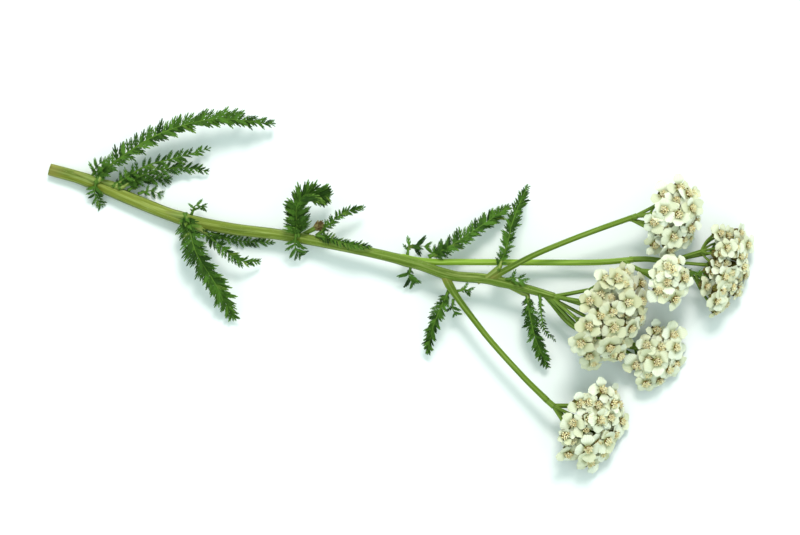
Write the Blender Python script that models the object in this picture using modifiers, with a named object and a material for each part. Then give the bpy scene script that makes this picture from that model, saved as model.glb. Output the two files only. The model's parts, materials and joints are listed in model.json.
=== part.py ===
"""A cut flowering stem of common yarrow, lying on a flat surface.

Built in Blender 4.5, in metres, +Z up. The origin is the middle of the foot of the
bounding box, +X runs along the stem from its cut end to the flowers.

Pieces: the grooved stem with its three side branches, the feathery fronds that
grow from its nodes, one small bud, and six corymbs of flower heads.
"""

import math
import random

import bmesh
import bpy
from mathutils import Matrix, Vector

MM = 0.001
GAP = 0.3
GOLDEN_ANGLE = math.radians(137.508)

# The stem and its branches: x, y, height and radius of points along each one, in mm.
STEM_PATH = [
    (-88.6, 30.8, 1.4, 1.55), (-79.3, 28.1, 1.8, 1.6), (-68.0, 23.3, 2.3, 1.65),
    (-55.7, 18.6, 2.9, 1.6), (-43.2, 15.9, 3.5, 1.5), (-28.3, 14.0, 4.3, 1.4),
    (-9.6, 10.3, 5.4, 1.3), (3.0, 7.2, 6.2, 1.35), (12.0, 4.2, 6.8, 1.3),
    (21.5, 3.2, 7.4, 1.3), (30.5, 1.0, 8.0, 1.15), (38.0, -1.1, 8.5, 0.95),
]
BRANCH_TO_D = [
    (-1.0, 8.7, 5.9, 0.8), (7.0, 7.6, 5.6, 0.9), (16.0, 7.5, 4.9, 0.88),
    (32.0, 7.4, 4.4, 0.85), (48.0, 7.4, 4.6, 0.82), (58.0, 8.1, 5.4, 0.8),
]
BRANCH_TO_F = [
    (10.0, 5.0, 6.6, 0.8), (12.8, 0.2, 7.0, 0.95), (16.5, -5.0, 7.0, 0.85),
    (22.5, -12.6, 7.0, 0.8), (30.5, -21.4, 7.0, 0.8), (36.4, -27.2, 7.2, 0.85),
]
BRANCH_TO_A = [
    (21.5, 3.0, 7.4, 0.8), (25.4, 5.2, 8.6, 0.85), (32.5, 9.0, 9.2, 0.78),
    (41.5, 12.8, 9.8, 0.75), (50.0, 16.0, 10.3, 0.75), (57.4, 18.6, 10.6, 0.75),
]
BRANCHES = [STEM_PATH, BRANCH_TO_D, BRANCH_TO_F, BRANCH_TO_A]
STEM_RIDGES = 6
RIDGE_DEPTH = 0.12

# A flower head: sizes in mm, along its own axis from the plane of its rays.
PETALS = 5
HEAD_REACH = 2.55
RAY_CORNERS = [(0.0, 1.3, 0.0), (0.19, HEAD_REACH, 0.35), (0.81, HEAD_REACH, 0.35)]
RAY_THICK = 0.6
CUP_DEPTH = 3.2
CUP_RADIUS = 1.15
FOOT_RADIUS = 0.45
DISC_RADIUS = 1.0
DISC_HEIGHT = 0.75
PEDICEL_RADIUS = 0.38
TWIG_RADIUS = 0.5
STAGGER = 1.2
KNOT_RADIUS = 1.0
STALK_START = 0.5

# Each corymb: its middle, how far its face leans from straight up and towards which
# side, its half widths, how far its rim drops, its heads and the fork they grow from.
CORYMBS = {
    "corymb_a": dict(
        middle=(69.4, 17.9, 14.0), lean=33, towards=-24, half=(7.4, 8.6), drop=3.4,
        heads=12, groups=4, size=1.0, splay=0.55, turn=0.4, seed=11,
        stalk=[(57.7, 18.7, 10.6, 0.75), (58.6, 19.0, 10.7, 0.8)],
    ),
    "corymb_b": dict(
        middle=(67.3, 2.2, 14.6), lean=24, towards=-20, half=(4.0, 5.8), drop=1.8,
        heads=7, groups=3, size=1.0, splay=0.5, turn=1.1, seed=22,
        stalk=[(56.6, 6.9, 6.6, 0.6), (59.6, 5.4, 9.0, 0.62)],
    ),
    "corymb_c": dict(
        middle=(54.0, -6.6, 15.8), lean=32, towards=-15, half=(9.2, 12.6), drop=4.6,
        heads=18, groups=5, size=1.0, splay=0.6, turn=2.0, seed=33,
        stalk=[(38.4, -1.2, 8.5, 0.85), (39.6, -1.5, 8.6, 0.85)],
    ),
    "corymb_d": dict(
        middle=(83.2, 5.6, None), lean=50, towards=-14, half=(7.4, 9.8), drop=3.0,
        heads=17, groups=4, size=0.86, splay=0.5, turn=0.9, seed=44,
        stalk=[(58.4, 8.2, 5.45, 0.78), (62.0, 8.2, 6.4, 0.75), (66.5, 7.6, 7.6, 0.75)],
    ),
    "corymb_e": dict(
        middle=(65.4, -16.4, None), lean=28, towards=-28, half=(6.0, 7.6), drop=2.6,
        heads=9, groups=3, size=1.0, splay=0.6, turn=1.7, seed=55,
        stalk=[(36.7, -2.0, 7.55, 0.6), (42.8, -8.6, 5.0, 0.6), (53.0, -13.0, 4.2, 0.6)],
    ),
    "corymb_f": dict(
        middle=(49.6, -34.2, None), lean=34, towards=-22, half=(8.2, 10.6), drop=3.4,
        heads=14, groups=4, size=1.0, splay=0.55, turn=0.2, seed=66,
        stalk=[(36.7, -27.5, 7.2, 0.8), (38.0, -28.6, 7.3, 0.85)],
    ),
}
SUNK = 0.35
FOOT_CLEARANCE = 0.7

# Each frond: points of its rib (x, y, height), leaflet pairs, reach of its longest
# leaflet, how far it folds up along the rib, and which way its upper face looks.
FRONDS = {
    "frond_1_long": dict(
        path=[(-75.6, 29.4, 2.6), (-70.4, 33.4, 5.2), (-60.0, 39.8, 7.6), (-47.0, 43.2, 7.8), (-32.6, 42.2, 4.2)],
        pairs=19, reach=2.9, fold=30, face=(0.1, 0.55, 1.0),
    ),
    "frond_1_upper": dict(
        path=[(-71.6, 28.2, 4.4), (-64.0, 31.6, 5.6), (-56.6, 33.6, 5.0), (-48.6, 36.0, 3.0)],
        pairs=7, reach=2.0, fold=35, face=(0.0, 0.3, 1.0),
    ),
    "frond_1_middle": dict(
        path=[(-70.4, 27.0, 4.0), (-63.0, 30.2, 3.6), (-55.6, 31.2, 3.0), (-49.2, 30.4, 1.8)],
        pairs=7, reach=2.1, fold=25, face=(0.0, -0.5, 1.0), bare=0.3,
    ),
    "frond_1_lower": dict(
        path=[(-68.4, 25.6, 2.6), (-64.4, 28.4, 1.5), (-58.4, 28.4, 1.2)],
        pairs=4, reach=1.9, fold=12, face=(0.0, -0.2, 1.0), bare=0.34,
    ),
    "frond_1_beside": dict(
        path=[(-65.6, 24.8, 2.2), (-63.2, 25.4, 1.0), (-60.6, 24.4, 0.7)],
        pairs=3, reach=1.4, fold=5, face=(0.0, 0.0, 1.0),
    ),
    "tuft_1_above": dict(
        path=[(-77.6, 29.6, 3.2), (-76.8, 31.2, 4.2), (-75.2, 32.6, 5.0)],
        pairs=3, reach=1.6, fold=30, face=(-0.4, 0.2, 1.0),
    ),
    "tuft_1_below": dict(
        path=[(-75.6, 24.0, 1.5), (-76.4, 23.0, 1.2), (-75.6, 21.6, 0.7)],
        pairs=3, reach=1.9, fold=5, face=(0.0, 0.0, 1.0),
    ),
    "frond_2_long": dict(
        path=[(-53.0, 15.8, 3.8), (-51.4, 9.6, 6.0), (-47.2, 2.8, 5.6), (-42.2, -6.4, 2.0)],
        pairs=14, reach=3.2, fold=30, face=(-0.3, 0.0, 1.0),
    ),
    "frond_2_side": dict(
        path=[(-50.4, 14.8, 5.2), (-45.6, 11.8, 7.0), (-41.0, 8.0, 5.4), (-36.0, 7.6, 3.0)],
        pairs=8, reach=1.9, fold=35, face=(0.2, -0.5, 1.0),
    ),
    "frond_2_under": dict(
        path=[(-47.6, 13.6, 2.2), (-40.5, 12.8, 1.1), (-32.6, 12.4, 0.8)],
        pairs=6, reach=1.5, fold=8, face=(0.1, -0.3, 1.0),
    ),
    "tuft_2_above": dict(
        path=[(-52.6, 20.4, 3.8), (-51.8, 21.6, 4.4), (-49.6, 21.4, 4.6)],
        pairs=3, reach=1.4, fold=30, face=(0.0, 0.2, 1.0),
    ),
    "frond_3_curled": dict(
        path=[(-27.4, 16.4, 5.2), (-28.2, 20.4, 8.6), (-25.8, 24.2, 9.6), (-19.0, 24.0, 6.4)],
        pairs=12, reach=3.4, fold=25, face=(0.2, -0.2, 1.0), bare=0.05,
    ),
    "tuft_3_below": dict(
        path=[(-26.6, 11.4, 3.6), (-26.4, 9.4, 3.0), (-25.4, 8.0, 2.2)],
        pairs=3, reach=2.3, fold=10, face=(0.0, 0.0, 1.0),
    ),
    "frond_3_side": dict(
        path=[(-20.4, 16.6, 6.4), (-15.0, 19.6, 6.6), (-9.8, 21.2, 5.0)],
        pairs=8, reach=1.4, fold=40, face=(0.0, -0.2, 1.0),
    ),
    "frond_3_along": dict(
        path=[(-18.2, 12.6, 7.4), (-14.4, 12.4, 7.9), (-8.2, 11.4, 7.9)],
        pairs=7, reach=1.4, fold=35, face=(0.0, -0.1, 1.0), bare=0.16,
    ),
    "tuft_4_above": dict(
        path=[(1.6, 10.3, 5.6), (2.0, 11.6, 5.0), (6.4, 11.4, 3.4)],
        pairs=3, reach=2.4, fold=10, face=(0.0, 0.0, 1.0),
    ),
    "tuft_4_below": dict(
        path=[(1.8, 5.2, 5.0), (1.8, 3.8, 4.0), (2.8, 2.2, 2.6)],
        pairs=3, reach=2.3, fold=10, face=(0.0, 0.0, 1.0),
    ),
    "frond_4_long": dict(
        path=[(7.4, 9.2, 5.2), (12.6, 11.8, 5.6), (19.6, 16.4, 5.0), (26.8, 21.4, 2.6)],
        pairs=13, reach=2.4, fold=25, face=(-0.2, 0.3, 1.0), bare=0.06,
    ),
    "frond_5_long": dict(
        path=[(11.0, -0.6, 6.2), (9.4, -4.6, 7.0), (7.6, -9.6, 5.4), (6.5, -15.2, 2.4)],
        pairs=11, reach=1.9, fold=35, face=(-0.2, 0.0, 1.0),
    ),
    "tuft_5_side": dict(
        path=[(14.6, 0.4, 7.4), (15.8, 0.6, 7.2), (16.8, 0.2, 6.6)],
        pairs=2, reach=1.6, fold=10, face=(0.0, 0.0, 1.0),
    ),
    "tuft_5_inner": dict(
        path=[(12.3, -3.0, 6.6), (12.7, -4.2, 6.0), (13.4, -5.6, 4.8)],
        pairs=2, reach=1.5, fold=10, face=(-0.2, 0.0, 1.0),
    ),
    "frond_6_long": dict(
        path=[(24.2, 6.2, 9.0), (26.2, 11.8, 9.6), (28.0, 18.6, 8.0), (31.4, 26.4, 4.4)],
        pairs=13, reach=1.9, fold=35, face=(-0.1, 0.1, 1.0),
    ),
    "tuft_6_side": dict(
        path=[(27.0, 3.7, 9.6), (28.8, 3.5, 10.0), (30.6, 2.6, 10.0)],
        pairs=3, reach=1.5, fold=15, face=(0.0, 0.0, 1.0),
    ),
    "frond_7_long": dict(
        path=[(31.0, -1.6, 6.4), (32.2, -6.8, 7.0), (33.8, -12.6, 5.6), (36.4, -18.6, 2.6)],
        pairs=13, reach=2.0, fold=30, face=(-0.1, 0.0, 1.0),
    ),
    "frond_7_slender": dict(
        path=[(34.4, -1.6, 9.4), (34.8, -5.8, 10.4), (35.6, -9.4, 9.4), (38.2, -12.0, 6.4)],
        pairs=6, reach=0.9, fold=20, face=(0.0, 0.0, 1.0), bare=0.3,
    ),
}
RIB_HALF_WIDTH = 0.42
BLADE_THICK = 0.6
LEAFLET_SWEEP = math.radians(52)
LEAFLET_SHARE = 0.62
NEAREST_FLOOR = 0.35
SEAT_GAP = 0.72

BUD_PLACE = (-22.5, 15.6, 5.0)
BUD_RADIUS = 0.95

# The middle of the plant's box, which becomes the origin.
CENTRE = (-0.43, 1.03)


def clear_scene():
    for thing in list(bpy.data.objects):
        bpy.data.objects.remove(thing, do_unlink=True)


def new_collection(name):
    made = bpy.data.collections.new(name)
    bpy.context.scene.collection.children.link(made)
    return made


def material(name, colour, roughness):
    made = bpy.data.materials.new(name)
    made.use_nodes = True
    shader = made.node_tree.nodes["Principled BSDF"]
    shader.inputs["Base Color"].default_value = (*colour, 1.0)
    shader.inputs["Roughness"].default_value = roughness
    shader.inputs["Metallic"].default_value = 0.0
    made.diffuse_color = (*colour, 1.0)
    return made


def smooth_path(points, steps):
    """Points on a smooth curve through the given ones, steps to a span, any dimension."""
    ends = [[2 * a - b for a, b in zip(points[0], points[1])]]
    tails = [[2 * a - b for a, b in zip(points[-1], points[-2])]]
    padded = ends + [list(p) for p in points] + tails
    made = []
    for i in range(1, len(padded) - 2):
        p0, p1, p2, p3 = padded[i - 1:i + 3]
        for k in range(steps):
            t = k / steps
            made.append([
                0.5 * (2 * b + (c - a) * t + (2 * a - 5 * b + 4 * c - d) * t * t
                       + (3 * b - a - 3 * c + d) * t ** 3)
                for a, b, c, d in zip(p0, p1, p2, p3)
            ])
    made.append(list(points[-1]))
    return made


def mesh_object(name, bm, collection, surface):
    mesh = bpy.data.meshes.new(name)
    bm.to_mesh(mesh)
    bm.free()
    made = bpy.data.objects.new(name, mesh)
    collection.objects.link(made)
    if surface:
        mesh.materials.append(surface)
    return made


def baked(thing, name, collection):
    """A mesh object of what the evaluated object shows, in its place; the first one is removed."""
    bpy.context.view_layer.update()
    graph = bpy.context.evaluated_depsgraph_get()
    mesh = bpy.data.meshes.new_from_object(thing.evaluated_get(graph))
    place = thing.matrix_world.copy()
    old = thing.data
    bpy.data.objects.remove(thing, do_unlink=True)
    if old.users == 0 and isinstance(old, bpy.types.Curve):
        bpy.data.curves.remove(old)
    bm = bmesh.new()
    bm.from_mesh(mesh)
    bmesh.ops.remove_doubles(bm, verts=bm.verts, dist=1e-6)
    bmesh.ops.recalc_face_normals(bm, faces=bm.faces)
    bm.to_mesh(mesh)
    bm.free()
    made = bpy.data.objects.new(name, mesh)
    made.matrix_world = place
    mesh.name = name
    collection.objects.link(made)
    return made


def tube(name, points, collection, surface, steps=2, resolution=1, section=None):
    """A filled tube along x, y, height, radius points in mm."""
    curve = bpy.data.curves.new(name, "CURVE")
    curve.dimensions = "3D"
    curve.use_fill_caps = True
    if section:
        curve.bevel_mode = "OBJECT"
        curve.bevel_object = section
    else:
        curve.bevel_depth = MM
        curve.bevel_resolution = resolution
    line = curve.splines.new("POLY")
    stations = smooth_path(points, steps)
    line.points.add(len(stations) - 1)
    for point, (x, y, z, radius) in zip(line.points, stations):
        point.co = (x * MM, y * MM, z * MM, 1.0)
        point.radius = radius
    made = bpy.data.objects.new(name, curve)
    collection.objects.link(made)
    curve.materials.append(surface)
    return baked(made, name, collection)


def ridged_section(helpers):
    """The stem's cross section, one millimetre in radius: ridges with grooves between them."""
    curve = bpy.data.curves.new("ridged_section", "CURVE")
    curve.dimensions = "2D"
    outline = curve.splines.new("POLY")
    sides = 2 * STEM_RIDGES
    outline.points.add(sides - 1)
    for k, point in enumerate(outline.points):
        reach = MM * (1.0 if k % 2 else 1.0 - RIDGE_DEPTH)
        angle = math.tau * (k + 0.5) / sides
        point.co = (reach * math.cos(angle), reach * math.sin(angle), 0.0, 1.0)
    outline.use_cyclic_u = True
    made = bpy.data.objects.new("ridged_section", curve)
    made.hide_render = True
    made.display_type = "WIRE"
    helpers.objects.link(made)
    return made


def joined(name, pieces, collection):
    """One closed body made of all the pieces, by a union on a collection that is then emptied."""
    rest = bpy.data.collections.new(name + "_pieces")
    bpy.context.scene.collection.children.link(rest)
    first = pieces[0]
    for piece in pieces[1:]:
        for home in list(piece.users_collection):
            home.objects.unlink(piece)
        rest.objects.link(piece)
    union = first.modifiers.new("union", "BOOLEAN")
    union.operation = "UNION"
    union.operand_type = "COLLECTION"
    union.collection = rest
    union.solver = "MANIFOLD"
    made = baked(first, name, collection)
    for piece in list(rest.objects):
        bpy.data.objects.remove(piece, do_unlink=True)
    bpy.data.collections.remove(rest)
    return made


def drop_pockets(thing):
    """Removes small shells shut inside the body, which crossing pieces can leave."""
    bm = bmesh.new()
    bm.from_mesh(thing.data)
    waiting = set(bm.faces)
    shells = []
    while waiting:
        shell = set()
        edge_of_search = [waiting.pop()]
        while edge_of_search:
            face = edge_of_search.pop()
            shell.add(face)
            for edge in face.edges:
                for other in edge.link_faces:
                    if other in waiting:
                        waiting.remove(other)
                        edge_of_search.append(other)
        shells.append(shell)
    shells.sort(key=len)
    for shell in shells[:-1]:
        bmesh.ops.delete(bm, geom=list(shell), context="FACES")
    bm.to_mesh(thing.data)
    bm.free()


def cut_flat(thing, collection):
    """Cuts off what would reach below the surface that the plant lies on."""
    bm = bmesh.new()
    bmesh.ops.create_cube(bm, size=1.0)
    depth = 4 * MM
    span = 300 * MM
    bmesh.ops.transform(
        bm, verts=bm.verts,
        matrix=Matrix.Translation((0, 0, -depth / 2)) @ Matrix.Diagonal((span, span, depth, 1)),
    )
    cutter = mesh_object("surface_cutter", bm, collection, None)
    cut = thing.modifiers.new("surface", "BOOLEAN")
    cut.operation = "DIFFERENCE"
    cut.object = cutter
    cut.solver = "MANIFOLD"
    made = baked(thing, thing.name, collection)
    bpy.data.objects.remove(cutter, do_unlink=True)
    return made


def rings_joined(bm, few, many):
    """Faces between a ring of one vertex a petal and the outline, with three a petal."""
    count = len(many)
    for i, hub in enumerate(few):
        rim = [many[(3 * i - 1 + k) % count] for k in range(4)]
        for a, b in zip(rim, rim[1:]):
            bm.faces.new((hub, a, b))
        bm.faces.new((hub, rim[-1], few[(i + 1) % len(few)]))


def band(bm, low, high):
    """Faces between two rings that have as many vertices as each other."""
    for i in range(len(low)):
        j = (i + 1) % len(low)
        bm.faces.new((low[i], low[j], high[j], high[i]))


def flower_head(name, head, start, collection, surface):
    """A flower head on its own stalk: cup, five broad rays and a bumpy disc of florets."""
    foot = head_foot(head)
    bend = head["axis"].rotation_difference((foot - start).normalized())
    notches = [math.tau * k / PETALS for k in range(PETALS)]
    bm = bmesh.new()

    def ring(places):
        return [bm.verts.new(place * MM) for place in places]

    def round_axis(radius, height):
        """Five vertices round the head's axis, one over each notch between rays."""
        return ring([head_point(head, radius, angle, height) for angle in notches])

    spokes = [head_point(head, PEDICEL_RADIUS, angle, 0.0) - head["place"] for angle in notches]
    tail = ring([start + bend @ spoke for spoke in spokes])
    knee = round_axis(FOOT_RADIUS, -CUP_DEPTH)
    cup = round_axis(CUP_RADIUS, -CUP_DEPTH * 0.6)
    under = ring(ray_corners(head, 0.0))
    over = ring(ray_corners(head, RAY_THICK))
    florets = round_axis(DISC_RADIUS, RAY_THICK + DISC_HEIGHT)
    middle = ring([head_point(head, 0.0, 0.0, RAY_THICK + DISC_HEIGHT * 0.5)])[0]
    bm.faces.new(tail)
    band(bm, tail, knee)
    band(bm, knee, cup)
    rings_joined(bm, cup, under)
    band(bm, under, over)
    rings_joined(bm, florets, over)
    for i in range(PETALS):
        bm.faces.new((florets[i], florets[(i + 1) % PETALS], middle))
    bmesh.ops.recalc_face_normals(bm, faces=bm.faces)
    return mesh_object(name + "_head", bm, collection, surface)


def head_point(head, radius, angle, height):
    """A point in mm, from its place in a head of size one."""
    turned = angle + head["turn"]
    local = Vector((radius * math.cos(turned), radius * math.sin(turned), height)) * head["size"]
    return head["place"] + head["axis"].to_track_quat("Z", "Y") @ local


def head_foot(head):
    """Where a head's stalk meets its cup."""
    return head_point(head, 0.0, 0.0, -CUP_DEPTH)


def ray_corners(head, lift):
    """The rays' outline: a notch and the two corners of a broad tip for each ray."""
    return [
        head_point(head, reach, math.tau * (k + turn) / PETALS, lift - droop)
        for k in range(PETALS) for turn, reach, droop in RAY_CORNERS
    ]


def corymb_heads(plan):
    """Places and axes of a corymb's heads, in mm: a sunflower spiral over a leaning dome."""
    draw = random.Random(plan["seed"])
    lean = math.radians(plan["lean"])
    towards = math.radians(plan["towards"])
    side = Vector((math.cos(towards), math.sin(towards), 0))
    facing = side * math.sin(lean) + Vector((0, 0, math.cos(lean)))
    down_face = side * math.cos(lean) - Vector((0, 0, math.sin(lean)))
    across = facing.cross(down_face)
    x, y, z = plan["middle"]
    middle = Vector((x, y, z or 0.0))
    half_down, half_across = plan["half"]
    heads = []
    for k in range(plan["heads"]):
        reach = math.sqrt((k + 0.5) / plan["heads"])
        angle = k * GOLDEN_ANGLE + plan["turn"]
        u = reach * math.cos(angle)
        v = reach * math.sin(angle)
        lift = (STAGGER if k % 2 else -STAGGER) - plan["drop"] * reach * reach
        place = middle + down_face * (u * half_down) + across * (v * half_across) + facing * lift
        axis = (facing + (down_face * u + across * v) * plan["splay"]).normalized()
        size = plan["size"] * draw.uniform(0.92, 1.06)
        heads.append(dict(place=place, axis=axis, size=size, turn=draw.uniform(0, math.tau), u=u, v=v))
    if z is None:
        rims = [corner.z for head in heads for corner in ray_corners(head, 0.0)]
        feet = [head_foot(head).z for head in heads]
        drop = min(min(rims) + SUNK, min(feet) - FOOT_CLEARANCE)
        for head in heads:
            head["place"].z -= drop
    return heads


def head_group(plan, head):
    """Which twig of the corymb a head belongs to: the middle one, or one by its side."""
    if math.hypot(head["u"], head["v"]) < 0.45:
        return 0
    angle = math.atan2(head["v"], head["u"]) % math.tau
    return 1 + int(angle / math.tau * (plan["groups"] - 1))


def knot(name, place, collection, surface):
    """The small swelling at a twig's end that the heads' stalks spread from."""
    bm = bmesh.new()
    bmesh.ops.create_icosphere(bm, subdivisions=1, radius=KNOT_RADIUS * MM)
    bmesh.ops.translate(bm, verts=bm.verts, vec=place * MM)
    return mesh_object(name + "_knot", bm, collection, surface)


def corymb(name, plan, collection, surface):
    """All of a corymb's heads on their stalks, twigs and stem, as one body."""
    heads = corymb_heads(plan)
    pieces = [tube(name, plan["stalk"], collection, surface, steps=3)]
    fork = Vector(plan["stalk"][-1][:3])
    for index in range(plan["groups"]):
        members = [h for h in heads if head_group(plan, h) == index]
        if not members:
            continue
        mean = sum((head_foot(h) for h in members), Vector()) / len(members)
        twig = fork.lerp(mean, 0.66)
        bend = fork.lerp(twig, 0.5) - Vector((0, 0, 0.4))
        start = fork - (twig - fork).normalized() * 0.4
        points = [(*start, TWIG_RADIUS), (*bend, TWIG_RADIUS), (*twig, TWIG_RADIUS * 0.95)]
        pieces.append(tube(name + "_twig", points, collection, surface, steps=1, resolution=0))
        pieces.append(knot(name, twig, collection, surface))
        for member in members:
            begin = twig + (head_foot(member) - twig).normalized() * STALK_START
            pieces.append(flower_head(name, member, begin, collection, surface))
    whole = joined(name, pieces, collection)
    if plan["middle"][2] is None:
        whole = cut_flat(whole, collection)
    drop_pockets(whole)
    return whole


def seated(point):
    """The point moved to just off the skin of the nearest stem or branch."""
    place = Vector(point)
    stations = [station for points in BRANCHES for station in smooth_path(points, 8)]
    nearest = min(stations, key=lambda s: (Vector(s[:3]) - place).length - s[3])
    centre = Vector(nearest[:3])
    return centre + (place - centre).normalized() * (nearest[3] + SEAT_GAP)


def leaf_reach(share):
    """Length of a leaflet at this share of the blade, against the longest."""
    rise = min(1.0, 0.55 + 1.8 * share)
    fall = min(1.0, 2.6 * (1.04 - share))
    return rise * fall


def frond(name, plan, collection, surface):
    """A feathery leaf: a rib whose edges are drawn out into leaflets, bent along its path."""
    rib = smooth_path([seated(plan["path"][0])] + plan["path"][1:], 8)
    places = [Vector(p) for p in rib]
    lengths = [0.0]
    for a, b in zip(places, places[1:]):
        lengths.append(lengths[-1] + (b - a).length)
    whole = lengths[-1]
    face = Vector(plan["face"])

    def frame(share):
        """Place, forward, sideways and upward at a share of the rib's length."""
        want = min(max(share, 0.0), 1.0) * whole
        i = 0
        while i < len(lengths) - 2 and lengths[i + 1] < want:
            i += 1
        t = (want - lengths[i]) / (lengths[i + 1] - lengths[i])
        place = places[i].lerp(places[i + 1], t)
        before = places[max(i - 1, 0)]
        after = places[min(i + 2, len(places) - 1)]
        forward = (after - before).normalized()
        sideways = face.cross(forward).normalized()
        return place, forward, sideways, forward.cross(sideways)

    pairs = plan["pairs"]
    bare = plan.get("bare", 0.1)
    pitch = (0.97 - bare) / pairs
    shares = [0.0]
    for k in range(pairs):
        begin = bare + k * pitch
        shares += [begin, begin + pitch * LEAFLET_SHARE]
    shares.append(1.0)

    bm = bmesh.new()
    bmesh.ops.create_grid(bm, x_segments=len(shares) - 1, y_segments=1, size=1.0)
    spans = len(shares) - 1
    role = {}
    for vert in bm.verts:
        station = round((vert.co.x + 1) / 2 * spans)
        role[vert] = (station, 1 if vert.co.y > 0 else -1)
    leaflet_edges = []
    for edge in bm.edges:
        (i, side_a), (j, side_b) = role[edge.verts[0]], role[edge.verts[1]]
        if side_a == side_b and abs(i - j) == 1 and min(i, j) % 2 == 1 and min(i, j) < spans - 1:
            leaflet_edges.append((edge, min(i, j), side_a))
    for vert, (station, side) in role.items():
        place, forward, sideways, _ = frame(shares[station])
        narrow = RIB_HALF_WIDTH * (1.0 if station < spans else 0.35)
        vert.co = (place + sideways * side * narrow) * MM
    fold = math.radians(plan["fold"])
    for edge, station, side in leaflet_edges:
        drawn = bmesh.ops.extrude_edge_only(bm, edges=[edge])["geom"]
        tips = [v for v in drawn if isinstance(v, bmesh.types.BMVert)]
        middle = (shares[station] + shares[station + 1]) / 2
        place, forward, sideways, upward = frame(middle)
        share = (middle - bare) / (1 - bare)
        reach = plan["reach"] * leaf_reach(share)
        outward = sideways * side * math.cos(fold) + upward * math.sin(fold)
        outward = outward * math.sin(LEAFLET_SWEEP) + forward * math.cos(LEAFLET_SWEEP)
        tip = (place + sideways * side * RIB_HALF_WIDTH + outward * reach)
        tip.z = max(tip.z, NEAREST_FLOOR)
        bmesh.ops.pointmerge(bm, verts=tips, merge_co=tip * MM)
    bmesh.ops.triangulate(bm, faces=bm.faces)
    bmesh.ops.recalc_face_normals(bm, faces=bm.faces)
    made = mesh_object(name, bm, collection, surface)
    thick = made.modifiers.new("thickness", "SOLIDIFY")
    thick.thickness = BLADE_THICK * MM
    thick.offset = 0.0
    return made


def bud(collection, surface):
    """The brown bud between the small fronds of the third node."""
    bm = bmesh.new()
    bmesh.ops.create_icosphere(bm, subdivisions=1, radius=BUD_RADIUS * MM)
    bmesh.ops.translate(bm, verts=bm.verts, vec=Vector(BUD_PLACE) * MM)
    return mesh_object("bud_3", bm, collection, surface)


def build():
    clear_scene()
    plant = new_collection("yarrow")
    helpers = new_collection("helpers")
    green = material("stem_green", (0.22, 0.30, 0.06), 0.55)
    leaf = material("leaf_green", (0.05, 0.13, 0.02), 0.6)
    white = material("petal_white", (0.86, 0.88, 0.78), 0.6)
    brown = material("bud_brown", (0.16, 0.10, 0.03), 0.7)

    section = ridged_section(helpers)
    tubes = [tube("stem", STEM_PATH, plant, green, steps=2, section=section)]
    for points in BRANCHES[1:]:
        tubes.append(tube("branch", points, plant, green, steps=2, resolution=2))
    bpy.data.objects.remove(section, do_unlink=True)
    cut_flat(joined("stem", tubes, plant), plant)
    for name, plan in CORYMBS.items():
        corymb(name, plan, plant, white)
    for name, plan in FRONDS.items():
        frond(name, plan, plant, leaf)
    bud(plant, brown)
    shift = Matrix.Translation((-CENTRE[0] * MM, -CENTRE[1] * MM, 0))
    for thing in plant.objects:
        thing.data.transform(shift)


build()
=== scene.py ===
# %% [markdown]
# # A cut stem of common yarrow, lying on a white surface
#
# This lesson dresses a plain model of a yarrow stem. The plain solids give the places, and
# each one is replaced by a finer piece with the same form: a grooved and hairy stem, lobed
# fronds, and flower heads with notched rays, disc florets and overlapping bracts.
#
# Nearly everything on a plant is a rule repeated with small differences. So the script has
# three kinds of step: tables of given places, small models made once, and rules that put
# many copies of a small model where the tables say.

# %% Load the plain model
import json
import math
import random

import bmesh
import bpy
from mathutils import Matrix, Quaternion, Vector

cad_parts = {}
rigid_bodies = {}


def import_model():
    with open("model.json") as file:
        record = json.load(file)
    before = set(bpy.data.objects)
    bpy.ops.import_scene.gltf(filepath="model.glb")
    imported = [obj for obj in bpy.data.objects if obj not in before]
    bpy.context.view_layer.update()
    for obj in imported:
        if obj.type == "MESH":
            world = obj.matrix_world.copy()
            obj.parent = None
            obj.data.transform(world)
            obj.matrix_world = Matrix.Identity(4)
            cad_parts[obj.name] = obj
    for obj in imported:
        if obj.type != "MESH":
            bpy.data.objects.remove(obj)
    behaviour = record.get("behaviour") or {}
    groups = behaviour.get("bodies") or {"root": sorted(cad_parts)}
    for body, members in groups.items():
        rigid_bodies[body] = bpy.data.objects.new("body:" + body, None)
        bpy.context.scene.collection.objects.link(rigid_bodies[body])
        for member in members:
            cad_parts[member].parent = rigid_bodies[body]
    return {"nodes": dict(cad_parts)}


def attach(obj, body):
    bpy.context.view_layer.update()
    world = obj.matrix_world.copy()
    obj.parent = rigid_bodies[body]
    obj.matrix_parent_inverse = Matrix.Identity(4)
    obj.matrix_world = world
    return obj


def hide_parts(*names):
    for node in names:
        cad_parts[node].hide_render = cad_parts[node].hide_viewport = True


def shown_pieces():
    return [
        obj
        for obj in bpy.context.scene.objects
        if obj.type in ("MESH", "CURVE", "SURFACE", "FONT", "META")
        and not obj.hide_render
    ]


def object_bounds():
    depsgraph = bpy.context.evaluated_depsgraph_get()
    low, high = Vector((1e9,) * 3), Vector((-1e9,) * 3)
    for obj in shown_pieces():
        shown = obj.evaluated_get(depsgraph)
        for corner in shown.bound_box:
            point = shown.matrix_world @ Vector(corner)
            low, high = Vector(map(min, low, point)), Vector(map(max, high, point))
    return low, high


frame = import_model()
cad_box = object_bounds()
print("plain model:", len(frame["nodes"]), "nodes")

# %% [markdown]
# ## Units
#
# A plant stem is easiest to describe in millimetres, and Blender works in metres, so the
# tables are in millimetres and one factor turns them round. The tables were measured from
# the middle of a photograph, and the model stands on the middle of its own box: the centre
# is the step between the two. Sunflower spirals use the golden angle, because no two turns
# of it ever line up.

# %% Units and fixed numbers
MM = 0.001
CENTRE = (-0.43, 1.03)
LOWEST = 0.02
GOLDEN_ANGLE = math.radians(137.508)

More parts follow.
